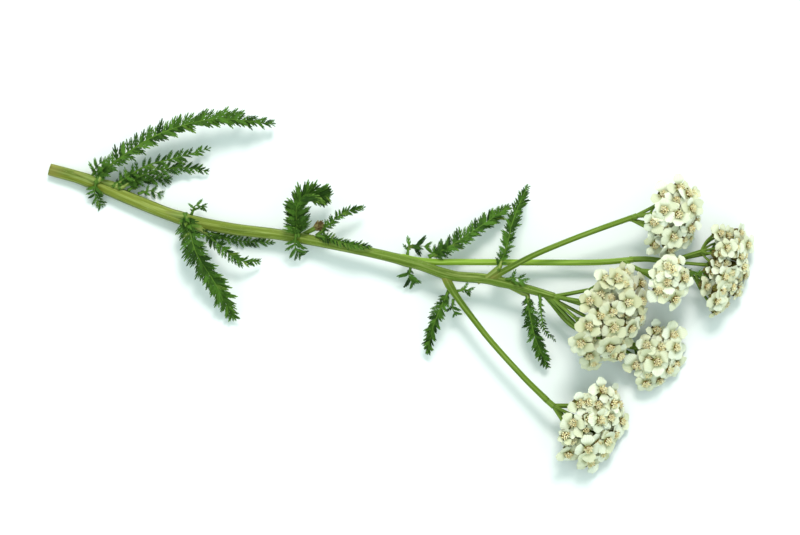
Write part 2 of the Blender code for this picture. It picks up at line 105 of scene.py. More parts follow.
box_mm = [round((high - low) / MM, 1) for low, high in zip(*cad_box)]
print("plain box in mm:", box_mm)

# %% [markdown]
# ## Route of the stem
#
# The real stem is one grown piece: a main stem in a shallow S and three side branches. A
# curve object could carry it, but the leaves and branches have to find its skin later, so
# a list of points serves better. Each point is x, y, height and radius. The stem rises
# gently from its cut end, because the flower clusters hold its upper end off the surface.

# %% Stem and branches
STEM_PATH = [
    (-88.6, 30.8, 1.5, 1.55), (-79.3, 28.1, 1.8, 1.6), (-68.0, 23.3, 2.3, 1.65),
    (-55.7, 18.6, 2.9, 1.6), (-43.2, 15.9, 3.5, 1.5), (-28.3, 14.0, 4.3, 1.4),
    (-9.6, 10.3, 5.4, 1.3), (3.0, 7.2, 6.2, 1.35), (12.0, 4.2, 6.8, 1.3),
    (21.5, 3.2, 7.4, 1.3), (30.5, 1.0, 8.0, 1.15), (38.0, -1.1, 8.5, 0.95),
]
BRANCH_TO_D = [
    (-1.0, 8.7, 5.9, 0.8), (7.0, 7.6, 5.6, 0.9), (16.0, 7.5, 4.9, 0.88),
    (32.0, 7.4, 4.4, 0.85), (48.0, 7.4, 4.6, 0.82), (58.0, 8.1, 5.4, 0.8),
]
BRANCH_TO_F = [
    (10.0, 5.0, 6.6, 0.8), (12.8, 0.2, 7.0, 0.95), (16.5, -5.0, 7.0, 0.85),
    (22.5, -12.6, 7.0, 0.8), (30.5, -21.4, 7.0, 0.8), (36.4, -27.2, 7.2, 0.85),
]
BRANCH_TO_A = [
    (21.5, 3.0, 7.4, 0.8), (25.4, 5.2, 8.6, 0.85), (32.5, 9.0, 9.2, 0.78),
    (41.5, 12.8, 9.8, 0.75), (50.0, 16.0, 10.3, 0.75), (57.4, 18.6, 10.6, 0.75),
]
BRANCHES = [STEM_PATH, BRANCH_TO_D, BRANCH_TO_F, BRANCH_TO_A]
print("stem and branches:", [len(points) for points in BRANCHES], "points")

# %% [markdown]
# ## Flower clusters
#
# Yarrow carries its flower heads in corymbs: the stalks start at different heights and all
# reach about the same level, so the heads make a shallow dome. Placing every head by hand
# would be slow and look placed. A dome is a rule instead: its middle, how far it leans and
# in which direction, its half sizes, how far its rim drops, and how many heads it has.
#
# `heads` is the number on the plain solid and `bloom` the number here. `shown` holds what
# differs here from the solid. A middle with no height is set down on the surface. `splay`
# turns the outer heads outwards, `youth` is the share that is still opening, the number for
# fading says how far the petals have faded and also how much painted shade darkens them,
# and `stalk` is the cluster's own stem.

# %% Corymbs on their own branches
CORYMBS = {
    "corymb_a": dict(
        middle=(69.4, 17.9, 14.0), lean=33, towards=-24, half=(7.4, 8.6), drop=3.4,
        heads=12, bloom=21, groups=4, twigs=6, fan=3.0,
        size=1.0, splay=0.55, turn=0.4, seed=11, youth=0.1,
        stalk=[(57.7, 18.7, 10.6, 0.75), (58.6, 19.0, 10.7, 0.8)],
    ),
    "corymb_b": dict(
        middle=(67.3, 2.2, 14.6), lean=24, towards=-20, half=(4.0, 5.8), drop=1.8,
        heads=7, bloom=12, groups=3,
        size=1.0, splay=0.5, turn=1.1, seed=22, youth=0.1,
        stalk=[(56.6, 6.9, 6.6, 0.6), (59.6, 5.4, 9.0, 0.62)],
    ),
    "corymb_c": dict(
        middle=(54.0, -6.6, 15.8), lean=32, towards=-15, half=(9.2, 12.6), drop=4.6,
        heads=18, bloom=32, groups=5, twigs=8, fan=5.0,
        size=1.0, splay=0.6, turn=2.0, seed=33, youth=0.05, fade_and_shade=0.5,
        shown=dict(towards=-22, half=(8.8, 12.8), stagger=1.0),
        stalk=[(38.4, -1.2, 8.5, 0.85), (39.6, -1.5, 8.6, 0.85)],
    ),
}

# %% Corymbs that lie on the surface
CORYMBS.update({
    "corymb_d": dict(
        middle=(83.2, 5.6, None), lean=50, towards=-14, half=(7.4, 9.8), drop=3.0,
        heads=17, bloom=36, groups=4,
        size=0.86, splay=0.5, turn=0.9, seed=44, youth=0.3, fade_and_shade=0.2,
        shown=dict(splay=0.3, half=(7.2, 10.8), stagger=0.8, hollow=0.85),
        stalk=[(58.4, 8.2, 5.45, 0.78), (62.0, 8.2, 6.4, 0.75), (66.5, 7.6, 7.6, 0.75)],
    ),
    "corymb_e": dict(
        middle=(65.4, -16.4, None), lean=28, towards=-28, half=(6.0, 7.6), drop=2.6,
        heads=9, bloom=18, groups=3,
        size=1.0, splay=0.6, turn=1.7, seed=55, youth=0.1,
        stalk=[(36.7, -2.0, 7.55, 0.6), (42.8, -8.6, 5.0, 0.6), (53.0, -13.0, 4.2, 0.6)],
    ),
    "corymb_f": dict(
        middle=(49.6, -34.2, None), lean=34, towards=-22, half=(8.2, 10.6), drop=3.4,
        heads=14, bloom=26, groups=4,
        size=1.0, splay=0.55, turn=0.2, seed=66, youth=0.1,
        stalk=[(36.7, -27.5, 7.2, 0.8), (38.0, -28.6, 7.3, 0.85)],
    ),
})
print("corymbs:", {name: plan["bloom"] for name, plan in CORYMBS.items()})

# %% [markdown]
# ## Fronds
#
# A yarrow leaf is a feather: one rib, and many small lobed leaflets on both sides. A leaf
# texture on a flat card would look right from straight above only, so every leaflet is
# real here. The tables give the rib's route, the pairs of leaflets on the plain solid, the
# reach of the longest, how steeply the two sides fold up, and which way the blade faces.
#
# `foot` is the number of small leaflets crowded at the leaf's foot, `base` how long the
# first ones are, `slim` their width against their length, and `bare` the share of the rib
# that has none. `shown` holds what differs here from the solid: mostly the root, carried
# up onto the top of the stem as on the real leaf, which clasps it.

# %% Fronds at the first two joints of the stem
FRONDS = {
    "frond_1_long": dict(
        path=[
            (-75.6, 29.4, 2.6), (-70.4, 33.4, 5.2), (-60.0, 39.8, 7.6), (-47.0, 43.2, 7.8),
            (-32.6, 42.2, 4.2),
        ],
        pairs=19, reach=2.9, fold=30, face=(0.1, 0.55, 1.0), base=0.8, foot=44,
        shown=dict(path=[
            (-76.4, 28.0, 4.0), (-74.4, 30.6, 4.6), (-69.4, 34.4, 6.0), (-60.0, 39.8, 7.6),
            (-47.0, 43.2, 7.8), (-32.6, 42.2, 4.2),
        ]),
    ),
    "frond_1_upper": dict(
        path=[(-71.6, 28.2, 4.4), (-64.0, 31.6, 5.6), (-56.6, 33.6, 5.0), (-48.6, 36.0, 3.0)],
        pairs=7, reach=2.0, fold=35, face=(0.0, 0.3, 1.0), base=0.8, foot=34,
    ),
    "frond_1_middle": dict(
        path=[(-70.4, 27.0, 4.0), (-63.0, 30.2, 3.6), (-55.6, 31.2, 3.0), (-49.2, 30.4, 1.8)],
        pairs=7, reach=2.1, fold=25, face=(0.0, -0.5, 1.0), bare=0.3, base=0.8, foot=34,
    ),
    "frond_1_lower": dict(
        path=[(-68.4, 25.6, 2.6), (-64.4, 28.4, 1.5), (-58.4, 28.4, 1.2)],
        pairs=4, reach=1.9, fold=12, face=(0.0, -0.2, 1.0), bare=0.34,
    ),
    "frond_1_beside": dict(
        path=[(-65.6, 24.8, 2.2), (-63.2, 25.4, 1.0), (-60.6, 24.4, 0.7)],
        pairs=3, reach=1.4, fold=5, face=(0.0, 0.0, 1.0),
    ),
    "tuft_1_above": dict(
        path=[(-77.6, 29.6, 3.2), (-76.8, 31.2, 4.2), (-75.2, 32.6, 5.0)],
        pairs=3, reach=1.6, fold=30, face=(-0.4, 0.2, 1.0),
    ),
    "tuft_1_below": dict(
        path=[(-75.6, 24.0, 1.5), (-76.4, 23.0, 1.2), (-75.6, 21.6, 0.7)],
        pairs=3, reach=1.9, fold=5, face=(0.0, 0.0, 1.0),
        shown=dict(
            pairs=6, slim=0.7,
            path=[(-76.8, 27.4, 4.2), (-77.2, 25.0, 3.2), (-76.6, 23.2, 1.8), (-75.6, 21.8, 1.0)],
        ),
    ),
    "frond_2_long": dict(
        path=[(-53.0, 15.8, 3.8), (-51.4, 9.6, 6.0), (-47.2, 2.8, 5.6), (-42.2, -6.4, 2.0)],
        pairs=14, reach=3.2, fold=30, face=(-0.3, 0.0, 1.0), base=0.95, foot=44,
        shown=dict(
            pairs=16, slim=0.74,
            path=[
                (-54.2, 19.0, 5.2), (-53.2, 15.6, 6.0), (-51.4, 9.6, 6.4), (-47.2, 2.8, 5.6),
                (-42.2, -6.4, 2.0),
            ],
        ),
    ),
    "frond_2_side": dict(
        path=[(-50.4, 14.8, 5.2), (-45.6, 11.8, 7.0), (-41.0, 8.0, 5.4), (-36.0, 7.6, 3.0)],
        pairs=8, reach=1.9, fold=35, face=(0.2, -0.5, 1.0),
    ),
    "frond_2_under": dict(
        path=[(-47.6, 13.6, 2.2), (-40.5, 12.8, 1.1), (-32.6, 12.4, 0.8)],
        pairs=6, reach=1.5, fold=8, face=(0.1, -0.3, 1.0),
    ),
    "tuft_2_above": dict(
        path=[(-52.6, 20.4, 3.8), (-51.8, 21.6, 4.4), (-49.6, 21.4, 4.6)],
        pairs=3, reach=1.4, fold=30, face=(0.0, 0.2, 1.0),
    ),
}

# %% Fronds at the third and fourth joints
FRONDS.update({
    "frond_3_curled": dict(
        path=[(-27.4, 16.4, 5.2), (-28.2, 20.4, 8.6), (-25.8, 24.2, 9.6), (-19.0, 24.0, 6.4)],
        pairs=12, reach=3.4, fold=25, face=(0.2, -0.2, 1.0), bare=0.05, base=1.0, foot=40,
        shown=dict(
            pairs=19, fold=38, slim=0.66,
            path=[
                (-26.0, 14.8, 6.6), (-26.4, 17.8, 7.6), (-26.3, 21.4, 8.8), (-24.0, 24.4, 9.4),
                (-18.8, 24.0, 6.4),
            ],
        ),
    ),
    "tuft_3_below": dict(
        path=[(-26.6, 11.4, 3.6), (-26.4, 9.4, 3.0), (-25.4, 8.0, 2.2)],
        pairs=3, reach=2.3, fold=10, face=(0.0, 0.0, 1.0),
        shown=dict(
            pairs=5, slim=0.62,
            path=[(-26.6, 14.0, 6.4), (-26.8, 11.8, 5.6), (-26.4, 10.2, 4.2), (-25.6, 9.2, 3.0)],
        ),
    ),
    "frond_3_side": dict(
        path=[(-20.4, 16.6, 6.4), (-15.0, 19.6, 6.6), (-9.8, 21.2, 5.0)],
        pairs=8, reach=1.4, fold=40, face=(0.0, -0.2, 1.0),
    ),
    "frond_3_along": dict(
        path=[(-18.2, 12.6, 7.4), (-14.4, 12.4, 7.9), (-8.2, 11.4, 7.9)],
        pairs=7, reach=1.4, fold=35, face=(0.0, -0.1, 1.0), bare=0.16,
        shown=dict(
            pairs=9, slim=0.7,
            path=[(-20.4, 14.6, 6.8), (-16.8, 13.0, 7.6), (-13.4, 12.0, 8.0), (-8.2, 11.4, 7.9)],
        ),
    ),
    "tuft_4_above": dict(
        path=[(1.6, 10.3, 5.6), (2.0, 11.6, 5.0), (6.4, 11.4, 3.4)],
        pairs=3, reach=2.4, fold=10, face=(0.0, 0.0, 1.0),
    ),
    "tuft_4_below": dict(
        path=[(1.8, 5.2, 5.0), (1.8, 3.8, 4.0), (2.8, 2.2, 2.6)],
        pairs=3, reach=2.3, fold=10, face=(0.0, 0.0, 1.0),
    ),
    "frond_4_long": dict(
        path=[(7.4, 9.2, 5.2), (12.6, 11.8, 5.6), (19.6, 16.4, 5.0), (26.8, 21.4, 2.6)],
        pairs=13, reach=2.4, fold=25, face=(-0.2, 0.3, 1.0),
        bare=0.06, base=0.9, foot=34, sheathed=False,
    ),
})

# %% Fronds below the flower clusters
FRONDS.update({
    "frond_5_long": dict(
        path=[(11.0, -0.6, 6.2), (9.4, -4.6, 7.0), (7.6, -9.6, 5.4), (6.5, -15.2, 2.4)],
        pairs=11, reach=1.9, fold=35, face=(-0.2, 0.0, 1.0),
    ),
    "tuft_5_side": dict(
        path=[(14.6, 0.4, 7.4), (15.8, 0.6, 7.2), (16.8, 0.2, 6.6)],
        pairs=2, reach=1.6, fold=10, face=(0.0, 0.0, 1.0),
    ),
    "tuft_5_inner": dict(
        path=[(12.3, -3.0, 6.6), (12.7, -4.2, 6.0), (13.4, -5.6, 4.8)],
        pairs=2, reach=1.5, fold=10, face=(-0.2, 0.0, 1.0),
    ),
    "frond_6_long": dict(
        path=[(24.2, 6.2, 9.0), (26.2, 11.8, 9.6), (28.0, 18.6, 8.0), (31.4, 26.4, 4.4)],
        pairs=13, reach=1.9, fold=35, face=(-0.1, 0.1, 1.0),
    ),
    "tuft_6_side": dict(
        path=[(27.0, 3.7, 9.6), (28.8, 3.5, 10.0), (30.6, 2.6, 10.0)],
        pairs=3, reach=1.5, fold=15, face=(0.0, 0.0, 1.0),
    ),
    "frond_7_long": dict(
        path=[(31.0, -1.6, 6.4), (32.2, -6.8, 7.0), (33.8, -12.6, 5.6), (36.4, -18.6, 2.6)],
        pairs=13, reach=2.0, fold=30, face=(-0.1, 0.0, 1.0),
    ),
    "frond_7_slender": dict(
        path=[(34.4, -1.6, 9.4), (34.8, -5.8, 10.4), (35.6, -9.4, 9.4), (38.2, -12.0, 6.4)],
        pairs=6, reach=0.9, fold=20, face=(0.0, 0.0, 1.0), bare=0.3,
    ),
})
LEAF_BY_D = dict(
    path=[(66.8, 7.2, 7.6), (70.2, 5.0, 9.2), (74.4, 4.2, 10.0), (79.0, 3.6, 9.2)],
    pairs=6, reach=1.45, fold=8, face=(0.0, 0.1, 1.0),
    free=True, foot=0, slim=0.4, base=1.0, sheathed=False,
)
print("fronds and tufts:", len(FRONDS), "and one small leaf in corymb_d")

# %% [markdown]
# ## From tables to meshes
#
# A few points are enough to say how a stem bends, but a tube through them would have
# corners. A Catmull-Rom curve passes through every point it is given and is short to write,
# so it can smooth the radius along with the place. The second pair of helpers moves a
# point of the tables to Blender's metres, once as it is and once kept above the surface.

# %% Smooth paths
def smooth_path(points, steps):
    """Points on a smooth curve through the given ones, steps to a span, any dimension."""
    before = [2 * a - b for a, b in zip(points[0], points[1])]
    after = [2 * a - b for a, b in zip(points[-1], points[-2])]
    padded = [before] + [list(p) for p in points] + [after]
    made = []
    for i in range(1, len(padded) - 2):
        p0, p1, p2, p3 = padded[i - 1:i + 3]
        for k in range(steps):
            t = k / steps
            made.append([
                0.5 * (2 * b + (c - a) * t + (2 * a - 5 * b + 4 * c - d) * t * t
                       + (3 * b - a - 3 * c + d) * t ** 3)
                for a, b, c, d in zip(p0, p1, p2, p3)
            ])
    made.append(list(points[-1]))
    return made


def metres(place):
    """A point of the tables in metres, with the plant's middle moved to the origin."""
    return Vector((place[0] - CENTRE[0], place[1] - CENTRE[1], place[2])) * MM


def above_surface(place):
    """The same, and never below the surface that the stem lies on."""
    return metres((place[0], place[1], max(place[2], LOWEST)))


print("the stem's path becomes", len(smooth_path(STEM_PATH, 14)), "stations")

# %% [markdown]
# ## Objects
#
# Pieces are drawn in bmesh, which is quick and needs no window, and are then turned into
# objects. Some pieces are drawn in parts, one for each material, and joined at the end,
# because each kind of part is easier to describe by itself.

# %% From bmesh to object
def mesh_object(name, bm, *surfaces):
    """A smooth-shaded object in the scene, with its material slots in the order given."""
    mesh = bpy.data.meshes.new(name)
    bm.to_mesh(mesh)
    bm.free()
    mesh.shade_smooth()
    made = bpy.data.objects.new(name, mesh)
    bpy.context.scene.collection.objects.link(made)
    for surface in surfaces:
        mesh.materials.append(surface)
    return made


def joined(name, pieces):
    """One object out of several mesh objects that share their materials."""
    with bpy.context.temp_override(active_object=pieces[0], selected_editable_objects=pieces):
        bpy.ops.object.join()
    pieces[0].name = name
    pieces[0].data.name = name
    return pieces[0]

# %% [markdown]
# ## Tubes
#
# The stem, ribs, stalks and twigs are all tubes. A curve with a round bevel would make a
# smooth pipe, but a yarrow stem has ridges, so each ring of the tube is drawn here with a
# cosine groove round it. The ring's side direction is carried from station to station,
# which keeps the ridges from twisting. UV gives the way round and the length along in mm,
# and the materials use it to run their streaks along the stem.

# %% Swept tube
def ring_places(place, side, other, radius, sides, ridges, depth):
    """The points of one ring, drawn in where its furrows are."""
    places = []
    for k in range(sides):
        angle = math.tau * k / sides
        groove = depth * (0.5 - 0.5 * math.cos(ridges * angle)) if ridges else 0.0
        spoke = (side * math.cos(angle) + other * math.sin(angle)) * radius * (1 - groove)
        places.append(above_surface(place + spoke))
    return places


def close_end(bm, ring, uv, slot):
    """Closes a tube's end with one face, with UV on a disc."""
    cap = bm.faces.new(ring)
    cap.material_index = slot
    for k, loop in enumerate(cap.loops):
        angle = math.tau * k / len(ring)
        loop[uv].uv = (0.5 + 0.5 * math.cos(angle), 0.5 + 0.5 * math.sin(angle))


def sweep(bm, stations, sides, ridges=0, depth=0.0, cap_slot=0):
    """Adds a tube along x, y, height, radius stations; u runs round it and v along it in mm."""
    uv = bm.loops.layers.uv.verify()
    places = [Vector(s[:3]) for s in stations]
    side = Vector((0, 0, 1))
    rings = []
    lengths = [0.0]
    for i, place in enumerate(places):
        forward = (places[min(i + 1, len(places) - 1)] - places[max(i - 1, 0)]).normalized()
        side = (side - forward * side.dot(forward)).normalized()
        other = forward.cross(side)
        if i:
            lengths.append(lengths[-1] + (place - places[i - 1]).length)
        ring = ring_places(place, side, other, stations[i][3], sides, ridges, depth)
        rings.append([bm.verts.new(point) for point in ring])
    for i in range(len(rings) - 1):
        for k in range(sides):
            j = (k + 1) % sides
            face = bm.faces.new((rings[i][k], rings[i][j], rings[i + 1][j], rings[i + 1][k]))
            corners = [(k, i), (k + 1, i), (k + 1, i + 1), (k, i + 1)]
            for loop, (around, level) in zip(face.loops, corners):
                loop[uv].uv = (around / sides, lengths[level])
    close_end(bm, rings[0][::-1], uv, cap_slot)
    close_end(bm, rings[-1], uv, cap_slot)

# %% [markdown]
# ## Seats on the stem
#
# A leaf that floats a hair off its stem gives the whole model away as soon as it is seen
# from the side. So the root of each leaf is moved to just off the skin of the nearest
# stretch of stem or branch. The stretch also says which way the stem grows there, which
# the leaf's clasping sheath needs.

# %% Nearest stretch of stem
SEAT_GAP = 0.72


def nearest_stretch(point):
    """The nearest short stretch of stem or branch: centre, radius and direction of growth."""
    place = Vector(point)
    stretches = []
    for points in BRANCHES:
        stations = smooth_path(points, 8)
        stretches += list(zip(stations, stations[1:]))
    low, high = min(stretches, key=lambda pair: (Vector(pair[0][:3]) - place).length - pair[0][3])
    centre = Vector(low[:3])
    return centre, low[3], (Vector(high[:3]) - centre).normalized()


def seated(point):
    """The point moved to just off the skin of the nearest stem or branch."""
    centre, radius, _ = nearest_stretch(point)
    return centre + (Vector(point) - centre).normalized() * (radius + SEAT_GAP)


print("the longest frond is seated at", [round(part, 1) for part in seated((-76.4, 28.0, 4.0))])

# %% [markdown]
# ## A head's own axes
#
# Each flower head is drawn round its own axis, as if it stood upright at the origin. Two
# helpers take a point or a direction of that upright head to its place on the plant. The
# later steps can then speak of radius, angle and height only.

# %% Points of a head
CUP_DEPTH = 3.2


def head_turned(head, angle=0.0):
    """The rotation from a head's own axes, turned on by the angle, to the plant's."""
    return head["axis"].to_track_quat("Z", "Y") @ Quaternion((0, 0, 1), head["turn"] + angle)


def head_point(head, radius, angle, height):
    """A point in mm, from its place in a head of size one."""
    return head["place"] + head_turned(head, angle) @ Vector((radius, 0, height)) * head["size"]


def head_foot(head):
    """Where a head's stalk meets its cup."""
    return head_point(head, 0.0, 0.0, -CUP_DEPTH)

# %% [markdown]
# ## Heads on a leaning dome
#
# A sunflower spiral spreads any number of points evenly over a disc: the angle grows by the
# golden angle and the radius by a square root. Here the disc is stretched, bent down at its
# rim and leaned over. Neighbours stand a little higher and lower by turns, so that they
# overlap as real heads do. A random shift, drawn from a fixed seed, hides the spiral.

# %% Leaning dome
STAGGER = 1.2
HEAD_SIZES = (0.92, 1.06)
AXIS_SHIFT = 0.28


def dome_axes(plan):
    """The dome's facing direction, and the directions down its slope and across it."""
    lean = math.radians(plan["lean"])
    towards = math.radians(plan["towards"])
    side = Vector((math.cos(towards), math.sin(towards), 0))
    facing = side * math.sin(lean) + Vector((0, 0, math.cos(lean)))
    down_slope = side * math.cos(lean) - Vector((0, 0, math.sin(lean)))
    return facing, down_slope, facing.cross(down_slope)


def dome(plan, count, stagger=STAGGER, jitter=0.0):
    """Places and axes of a number of heads, in mm: a sunflower spiral over a leaning dome."""
    draw = random.Random(plan["seed"])
    facing, down_slope, across = dome_axes(plan)
    x, y, z = plan["middle"]
    middle = Vector((x, y, z or 0.0))
    half_down, half_across = plan["half"]
    heads = []
    for k in range(count):
        reach = math.sqrt((k + 0.5) / count)
        angle = k * GOLDEN_ANGLE + plan["turn"]
        u = reach * math.cos(angle)
        v = reach * math.sin(angle)
        lift = (stagger if k % 2 else -stagger) - plan["drop"] * reach * reach
        place = middle + down_slope * (u * half_down) + across * (v * half_across) + facing * lift
        axis = (facing + (down_slope * u + across * v) * plan["splay"]).normalized()
        size = plan["size"] * draw.uniform(*HEAD_SIZES)
        turn = draw.uniform(0, math.tau)
        if jitter:
            shift = Vector([draw.uniform(-jitter, jitter) for _ in range(3)])
            place = place + shift
            axis = (axis + shift * AXIS_SHIFT).normalized()
        heads.append(dict(place=place, axis=axis, size=size, turn=turn, u=u, v=v))
    return heads

# %% [markdown]
# ## Clusters that rest on the surface
#
# Three clusters hang over the side of the stem and rest on the surface. Their plain solids
# were let down until their lowest rays touched, and the same sum is done here from the
# same heads, so that the finer heads come to lie exactly where the solids do. The finer
# heads are then lifted one by one where a ray would dip into the surface.

# %% How far a cluster comes down
PETALS = 5
SUNK = 0.35
FOOT_CLEARANCE = 0.7
CAD_RAY_CORNERS = [(0.0, 1.3, 0.0), (0.19, 2.55, 0.35), (0.81, 2.55, 0.35)]


def resting_drop(plan):
    """How far a corymb that lies on the surface comes down, from the heads of its solid."""
    if plan["middle"][2] is not None:
        return 0.0
    heads = dome(plan, plan["heads"])
    rims = [
        head_point(head, reach, math.tau * (k + turn) / PETALS, -droop).z
        for head in heads for k in range(PETALS) for turn, reach, droop in CAD_RAY_CORNERS
    ]
    feet = [head_foot(head).z for head in heads]
    return min(min(rims) + SUNK, min(feet) - FOOT_CLEARANCE)


print("drops in mm:", {name: round(resting_drop(plan), 2) for name, plan in CORYMBS.items()})

# %% Heads in full bloom
RAY_REACH = 3.3
RAY_DROOP = 0.35
RIM_POINTS = 8
LEAST_RAY_HEIGHT = 0.15
BLOOM_STAGGER = 0.7
BLOOM_JITTER = 0.62
HOLLOW_HALF_WIDTH = 0.35
INNER_REACH = 0.45


def corymb_heads(plan):
    """The corymb's heads in full bloom, on the dome of its solid."""
    draw = random.Random(plan["seed"] + 1)
    drop = resting_drop(plan)
    shown = plan.get("shown", {})
    stagger = shown.get("stagger", BLOOM_STAGGER)
    heads = dome({**plan, **shown}, plan["bloom"], stagger=stagger, jitter=BLOOM_JITTER)
    hollow = shown.get("hollow", 1.0)
    heads = [head for head in heads if head["u"] > -hollow or abs(head["v"]) > HOLLOW_HALF_WIDTH]
    for head in heads:
        head["place"].z -= drop
        around = [math.tau * k / RIM_POINTS for k in range(RIM_POINTS)]
        rims = [head_point(head, RAY_REACH, angle, -RAY_DROOP).z for angle in around]
        head["place"].z += max(0.0, LEAST_RAY_HEIGHT - min(rims))
        head["young"] = draw.random() < plan["youth"]
    return heads


def head_group(head, groups):
    """Which twig of the corymb a head belongs to: the middle one, or one by its side."""
    if math.hypot(head["u"], head["v"]) < INNER_REACH:
        return 0
    angle = math.atan2(head["v"], head["u"]) % math.tau
    return 1 + int(angle / math.tau * (groups - 1))


print("heads:", sum(len(corymb_heads(plan)) for plan in CORYMBS.values()))

# %% [markdown]
# ## Node trees as sums
#
# A procedural material is a tree of nodes, and so is a geometry rule. Wiring either of them
# node by node hides the idea. So one small class wraps a socket and lets it be added, taken
# away and multiplied like a number: 1 - mask works as it reads. A second class adds every
# other kind of node through one method, which sets the node's settings first.

# %% Sockets that behave like numbers
class Value:
    """A node's output socket that takes plain arithmetic."""

    def __init__(self, wiring, socket):
        self.wiring = wiring
        self.socket = socket

    def maths(self, operation, *items):
        return self.wiring.node("ShaderNodeMath", dict(operation=operation), dict(enumerate(items)))

    def __add__(self, other):
        return self.maths("ADD", self, other)

    def __sub__(self, other):
        return self.maths("SUBTRACT", self, other)

    def __rsub__(self, other):
        return self.maths("SUBTRACT", other, self)

    def __mul__(self, other):
        return self.maths("MULTIPLY", self, other)

    __radd__ = __add__
    __rmul__ = __mul__

    def sine(self):
        return self.maths("SINE", self)

    def cosine(self):
        return self.maths("COSINE", self)

    def absolute(self):
        return self.maths("ABSOLUTE", self)

    def step(self, low, high):
        """0 below low, 1 above high and a smooth rise between."""
        return self.wiring.node(
            "ShaderNodeMapRange", dict(interpolation_type="SMOOTHSTEP"),
            {"Value": self, "From Min": low, "From Max": high},
        )

    def beside(self, out):
        """Another output of the same node."""
        return Value(self.wiring, self.socket.node.outputs[out])

# %% A tree under construction
class Wiring:
    """A node tree that grows by one method."""

    def __init__(self, tree):
        self.tree = tree

    def feed(self, slot, item):
        """Links a value to the socket, or sets the socket to a plain number or colour."""
        if isinstance(item, Value):
            self.tree.links.new(item.socket, slot)
        else:
            slot.default_value = item

    def node(self, kind, settings, sockets, out=0):
        """Adds a node: its settings first, then a value or a link for each socket named."""
        made = self.tree.nodes.new(kind)
        for name, setting in settings.items():
            setattr(made, name, setting)
        for slot, item in sockets.items():
            self.feed(made.inputs[slot], item)
        return Value(self, made.outputs[out])

# %% [markdown]
# ## Colours
#
# Colours are easiest to judge as they look on screen, from 0 to 255, but a shader adds up
# light, which needs linear numbers. One function turns the first kind into the second, so
# that every colour below can be compared with a photograph by eye.

# %% A material under construction
def linear(colour):
    """A colour of 0 to 255 as it looks on screen, as the shader's linear numbers."""
    shares = [part / 255 for part in colour]
    return [part / 12.92 if part <= 0.04045 else ((part + 0.055) / 1.055) ** 2.4 for part in shares]


class Look(Wiring):
    """A procedural material."""

    def __init__(self, name):
        self.material = bpy.data.materials.new(name)
        self.material.use_nodes = True
        super().__init__(self.material.node_tree)
        self.shader = self.tree.nodes["Principled BSDF"]

    def attribute(self, name):
        return self.node("ShaderNodeAttribute", dict(attribute_name=name), {}, "Fac")

    def coordinates(self, kind):
        """Object or UV coordinates, whole and then as x, y and z."""
        whole = self.node("ShaderNodeTexCoord", {}, {}, kind)
        split = self.node("ShaderNodeSeparateXYZ", {}, {0: whole})
        return [whole] + [split.beside(axis) for axis in "XYZ"]

    def noise(self, where, scale, detail=3.0):
        return self.node(
            "ShaderNodeTexNoise", {},
            {"Vector": where, "Scale": scale, "Detail": detail, "Roughness": 0.55},
        )

    def blend(self, first, second, share):
        """The first colour, turning to the second as the share goes to one."""
        colours = [item if isinstance(item, Value) else (*linear(item), 1.0) for item in (first, second)]
        settings = dict(data_type="RGBA", clamp_factor=True)
        return self.node("ShaderNodeMix", settings, {0: share, 6: colours[0], 7: colours[1]}, 2)

    def bump(self, height, distance):
        return self.node("ShaderNodeBump", {}, {"Height": height, "Distance": distance, "Strength": 1.0})

    def done(self, **inputs):
        """Sets the shader's inputs by name, with _ for a space."""
        for name, item in inputs.items():
            self.feed(self.shader.inputs[name.replace("_", " ")], item)
        return self.material

# %% [markdown]
# ## Stem skins
#
# A yarrow stem is ribbed, and its skin is painted paler on the ribs, as a painted highlight,
# and darker and greener in the furrows between them, as painted shade. It has long soft
# bands where it has caught the sun. Its foot is a duller olive than its top. Noise over
# plain object coordinates would cut across the bend of the stem, so the noise is read on a
# cylinder: the sine and cosine of the way round, and the length along. It has no seam, and
# it follows every bend. The same function makes the skins of branches, stalks, sheaths and
# leaf ribs with other greens, so they belong together.

# %% Function for a ribbed skin
STREAK_STRETCH = 0.035
DEAD_SPECK = (104, 84, 50)
DRIED_FOOT = (142, 126, 66)
FOOT_LENGTH = 5.0


def stem_look(name, ribs, low, high, pale, deep, browned=0.0, turns=(-0.0708, 0.0125)):
    """Ribbed green skin: the low colour towards the cut end, the high one towards the flowers."""
    look = Look(name)
    where, x, _, _ = look.coordinates("Object")
    _, around, along, _ = look.coordinates("UV")
    turn = around * math.tau
    cylinder = look.node(
        "ShaderNodeCombineXYZ", {}, {0: turn.cosine(), 1: turn.sine(), 2: along * STREAK_STRETCH},
    )
    bands = look.noise(cylinder, 1.5, 4.0)
    streaks = look.noise(cylinder, 3.6, 3.0)
    patches = look.noise(where, 160.0)
    specks = look.noise(where, 2600.0, 2.0)
    rib = (turn * ribs).cosine()
    share = (x - turns[0]) * (1.0 / (turns[1] - turns[0]))
    colour = look.blend(low, high, share + (patches - 0.5) * 0.6)
    colour = look.blend(colour, deep, bands.step(0.46, 0.62) * 0.8)
    # Painted shade in the furrows and a painted highlight on the ribs.
    colour = look.blend(colour, deep, (rib * -1.0).step(0.3, 1.0) * 0.22)
    colour = look.blend(colour, pale, rib.step(0.4, 1.0) * 0.25)
    colour = look.blend(colour, pale, streaks.step(0.5, 0.7) * 0.5)
    colour = look.blend(colour, DEAD_SPECK, specks.step(0.7, 0.78) * 0.3)
    colour = look.blend(colour, DRIED_FOOT, (FOOT_LENGTH - along).step(0.0, 4.5) * browned)
    return look.done(
        Base_Color=colour, Roughness=0.5 + patches * 0.2, Specular_IOR_Level=0.16,
        Normal=look.bump(streaks * 0.6 + specks * 0.2, 0.0001),
    )

